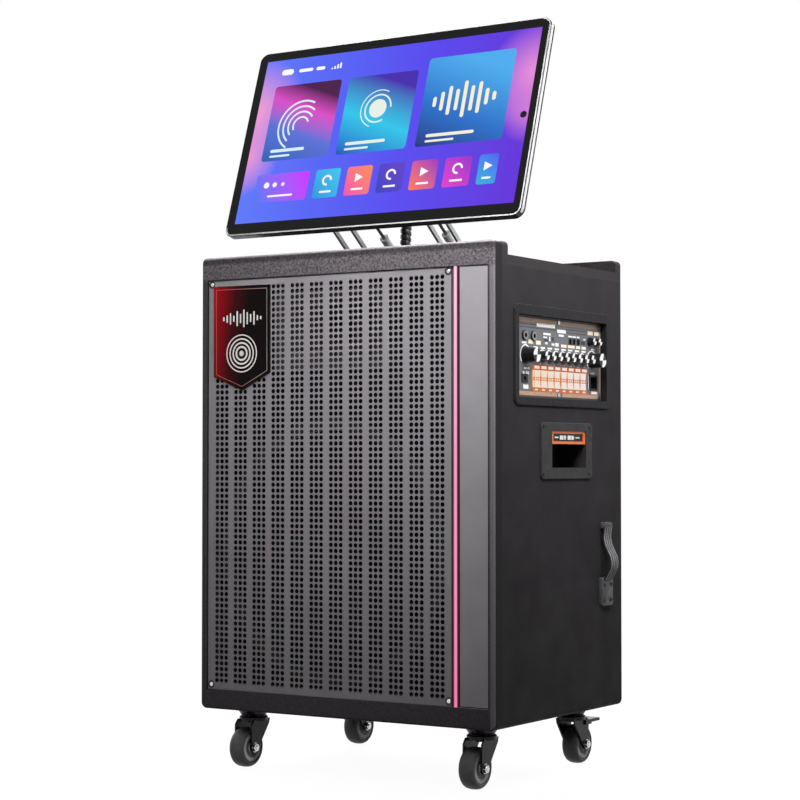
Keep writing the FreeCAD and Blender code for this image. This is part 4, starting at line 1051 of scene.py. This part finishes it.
# Wheels: crowned tyre, hub with its ring, and bright axle nuts; profiles are (radius, place along the axle)
TYRE_PROFILE = [
    (20.0, -11.0), (21.2, -11.7), (23.5, -12.0), (25.4, -11.3), (27.0, -9.8), (28.1, -7.6),
    (28.75, -4.2), (28.98, 0.0)]
TYRE_PROFILE += [(r, -w) for r, w in TYRE_PROFILE[-2::-1]]
HUB_PROFILE = [
    (4.1, -11.4), (8.8, -11.4), (9.6, -9.4), (14.4, -9.4), (15.0, -11.2), (15.6, -11.5), (20.0, -11.3),
    (20.4, -10.6)]
HUB_PROFILE += [(r, -w) for r, w in HUB_PROFILE[::-1]]
WASHER = [(7.0, 15.9), (7.0, 16.7)]
NUT = [(6.3, 16.7), (6.3, 19.1), (5.5, 19.9)]
BOLT_END = [(3.2, 19.7), (3.2, 20.9), (2.6, 21.4)]
for label in CASTERS:
    low, high = span("wheel_" + label)

    def about(u, v, w, middle=(low + high) / 2.0):
        # about the middle of a wheel, with its axle outwards
        return ((middle.x + w) * MM, (middle.y + u) * MM, (middle.z + v) * MM)

    tyre = Piece("tyre_" + label, about)
    tyre.turned(0, 0, TYRE_PROFILE, 64)
    thing = tyre.done(RUBBER, "wheel_" + label, "wheel", 40.0)
    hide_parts("wheel_" + label)
    hub = Piece("hub_" + label, about)
    hub.turned(0, 0, HUB_PROFILE, 56)
    hub.done(HUB, "wheel_" + label, "wheel", 30.0)
    nut = Piece("axle_nut_" + label, about)
    for profile, sides in ((WASHER, 24), (NUT, 6), (BOLT_END, 18)):
        nut.turned(0, 0, profile, sides)
        nut.turned(0, 0, [(r, -w) for r, w in profile], sides)
    nut.done(BRIGHT, "fork_" + label, "bright", 25.0)

# Wrapped cable sleeve: a tube with a spiral band along a smooth route
ROUTE = [(0, -24.0, 722.0), (0, -16.0, 800.0), (0, -6.67, 873.89), (0, -33.67, 911.09), (0, -57.44, 918.82)]
ROUTE_STEPS = 96
SLEEVE_STEPS = 150
SLEEVE_SIDES = 28
SLEEVE_RADIUS = 0.0083
GROOVE_RADIUS = 0.0068
WRAP_PITCH = 0.0085
WRAP_SHARE = 0.66


def on_route(share):
    # a smooth curve drawn from its five guide points
    row = [Vector(point) * MM for point in ROUTE]
    while len(row) > 1:
        row = [a.lerp(b, share) for a, b in zip(row, row[1:])]
    return row[0]


route = [on_route(k / ROUTE_STEPS) for k in range(ROUTE_STEPS + 1)]
lengths = [0.0]
for a, b in zip(route, route[1:]):
    lengths.append(lengths[-1] + (b - a).length)
sleeve_length = lengths[-1]


def along(distance):
    # the place on the route and the way ahead, at a distance from its lower end
    for k in range(len(route) - 1):
        if distance <= lengths[k + 1] or k == len(route) - 2:
            share = (distance - lengths[k]) / max(1e-9, lengths[k + 1] - lengths[k])
            return route[k].lerp(route[k + 1], share), (route[k + 1] - route[k]).normalized()


sleeve = Piece("cable_sleeve", lambda x, y, z: (x, y, z))
across = Vector((1, 0, 0))
loops = []
for k in range(SLEEVE_STEPS + 1):
    distance = sleeve_length * k / SLEEVE_STEPS
    centre, ahead = along(distance)
    upright = ahead.cross(across)
    loop = []
    for n in range(SLEEVE_SIDES):
        angle = 2 * math.pi * n / SLEEVE_SIDES
        phase = (distance / WRAP_PITCH + n / SLEEVE_SIDES) % 1.0
        radius = SLEEVE_RADIUS if phase < WRAP_SHARE else GROOVE_RADIUS
        loop.append(tuple(centre + (across * math.cos(angle) + upright * math.sin(angle)) * radius))
    loops.append(loop)
sleeve.stack(loops)
sleeve = sleeve.done(WRAP, "cabinet", "loom", 40.0)
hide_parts("cable_loom")
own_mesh(sleeve)

# Softened edges on the steel pieces
SOFTENED = ["fork_" + label for label in CASTERS]
SOFTENED += ["pedal_left", "pedal_right", "screen_arms", "screen_base"]
for name in SOFTENED:
    soften = nodes[name].modifiers.new("edges", "BEVEL")
    soften.width = 0.5 * MM
    soften.segments = 2
    soften.limit_method = "ANGLE"
    soften.angle_limit = math.radians(40.0)


# Floor, light and camera

def seen_rays(tree):
    # one for rays from the camera, and for those seen in metal and through glass
    rays = tree.nodes.new("ShaderNodeLightPath")
    seen = rays.outputs["Is Camera Ray"]
    for name in ("Is Glossy Ray", "Is Transmission Ray"):
        seen = combined(tree, "ShaderNodeMath", "MAXIMUM", seen, rays.outputs[name])
    return seen


REACH = 6.0
FLOOR_GLOW = 0.96
FLOOR_FADE = (0.6, 2.2)
floor_mesh = bpy.data.meshes.new("floor")
corners = [(-REACH, -REACH, 0), (REACH, -REACH, 0), (REACH, REACH, 0), (-REACH, REACH, 0)]
floor_mesh.from_pydata(corners, [], [[0, 1, 2, 3]])
floor = placed("floor", floor_mesh)
floor_material, tree, shader = new_material("pale_floor")
floor_shade = ramp(tree, noise(tree, coordinates(tree), 3.0), [(0.0, grey(0.04)), (1.0, grey(0.05))])
feed(tree, shader, {
    "Base Color": floor_shade, "Roughness": 0.9, "Specular IOR Level": 0.1, "Emission Color": grey(1.0),
    "Emission Strength": combined(tree, "ShaderNodeMath", "MULTIPLY", seen_rays(tree), FLOOR_GLOW)})
clear = tree.nodes.new("ShaderNodeBsdfTransparent")
away = combined(tree, "ShaderNodeVectorMath", "LENGTH", here(tree))
blend = made(tree, "ShaderNodeMixShader", {
    "Fac": mapped(tree, away, *FLOOR_FADE, 0.0, 1.0), 1: shader.outputs["BSDF"], 2: clear.outputs["BSDF"]})
tree.links.new(blend.outputs["Shader"], tree.nodes["Material Output"].inputs["Surface"])
floor_mesh.materials.append(floor_material)

world = bpy.data.worlds.new("studio")
bpy.context.scene.world = world
world.use_nodes = True
sky = world.node_tree
background = feed(sky, sky.nodes["Background"], {"Color": grey(0.5), "Strength": 0.04})
white = made(sky, "ShaderNodeBackground", {"Color": grey(1.0), "Strength": 1.0})
choose = made(sky, "ShaderNodeMixShader", {
    "Fac": seen_rays(sky), 1: background.outputs["Background"], 2: white.outputs["Background"]})
sky.links.new(choose.outputs["Shader"], sky.nodes["World Output"].inputs["Surface"])


def lamp(name, place, target, size, power, spread=180.0):
    # a rectangular lamp aimed at a target
    data = bpy.data.lights.new(name, "AREA")
    data.shape = "RECTANGLE"
    data.size, data.size_y = size
    data.energy = power
    data.spread = math.radians(spread)
    thing = placed(name, data)
    thing.location = place
    thing.rotation_euler = (Vector(target) - Vector(place)).to_track_quat("-Z", "Y").to_euler()


lamp("key", (0.60, -0.86, 1.38), (0.20, -0.18, 0.80), (0.8, 0.4), 2.75, 60.0)
lamp("side_light", (0.86, 0.02, 1.32), (0.25, 0.02, 0.76), (0.6, 0.4), 2.1, 72.0)
lamp("left_fill", (-2.3, -2.2, 1.3), (0.0, -0.1, 0.7), (1.4, 1.2), 0.3)
lamp("top_light", (0.0, 0.3, 2.6), (0, 0, 0.7), (1.2, 1.2), 9.0)
lamp("back_light", (-1.2, 2.4, 2.0), (0, 0, 0.6), (1.5, 1.5), 60.0)
lamp("left_side", (-1.6, 0.3, 1.1), (-0.25, 0.1, 0.5), (0.9, 0.9), 11.0)

camera_data = bpy.data.cameras.new("camera")
camera_data.lens = 92.93
camera_data.sensor_width = 36.0
camera = placed("camera", camera_data)
camera.location = (1.6414, -2.5831, 0.4457)
camera.rotation_euler = (math.radians(91.728), math.radians(0.0), math.radians(32.783))
bpy.context.scene.camera = camera
bpy.context.scene.view_settings.view_transform = "Standard"
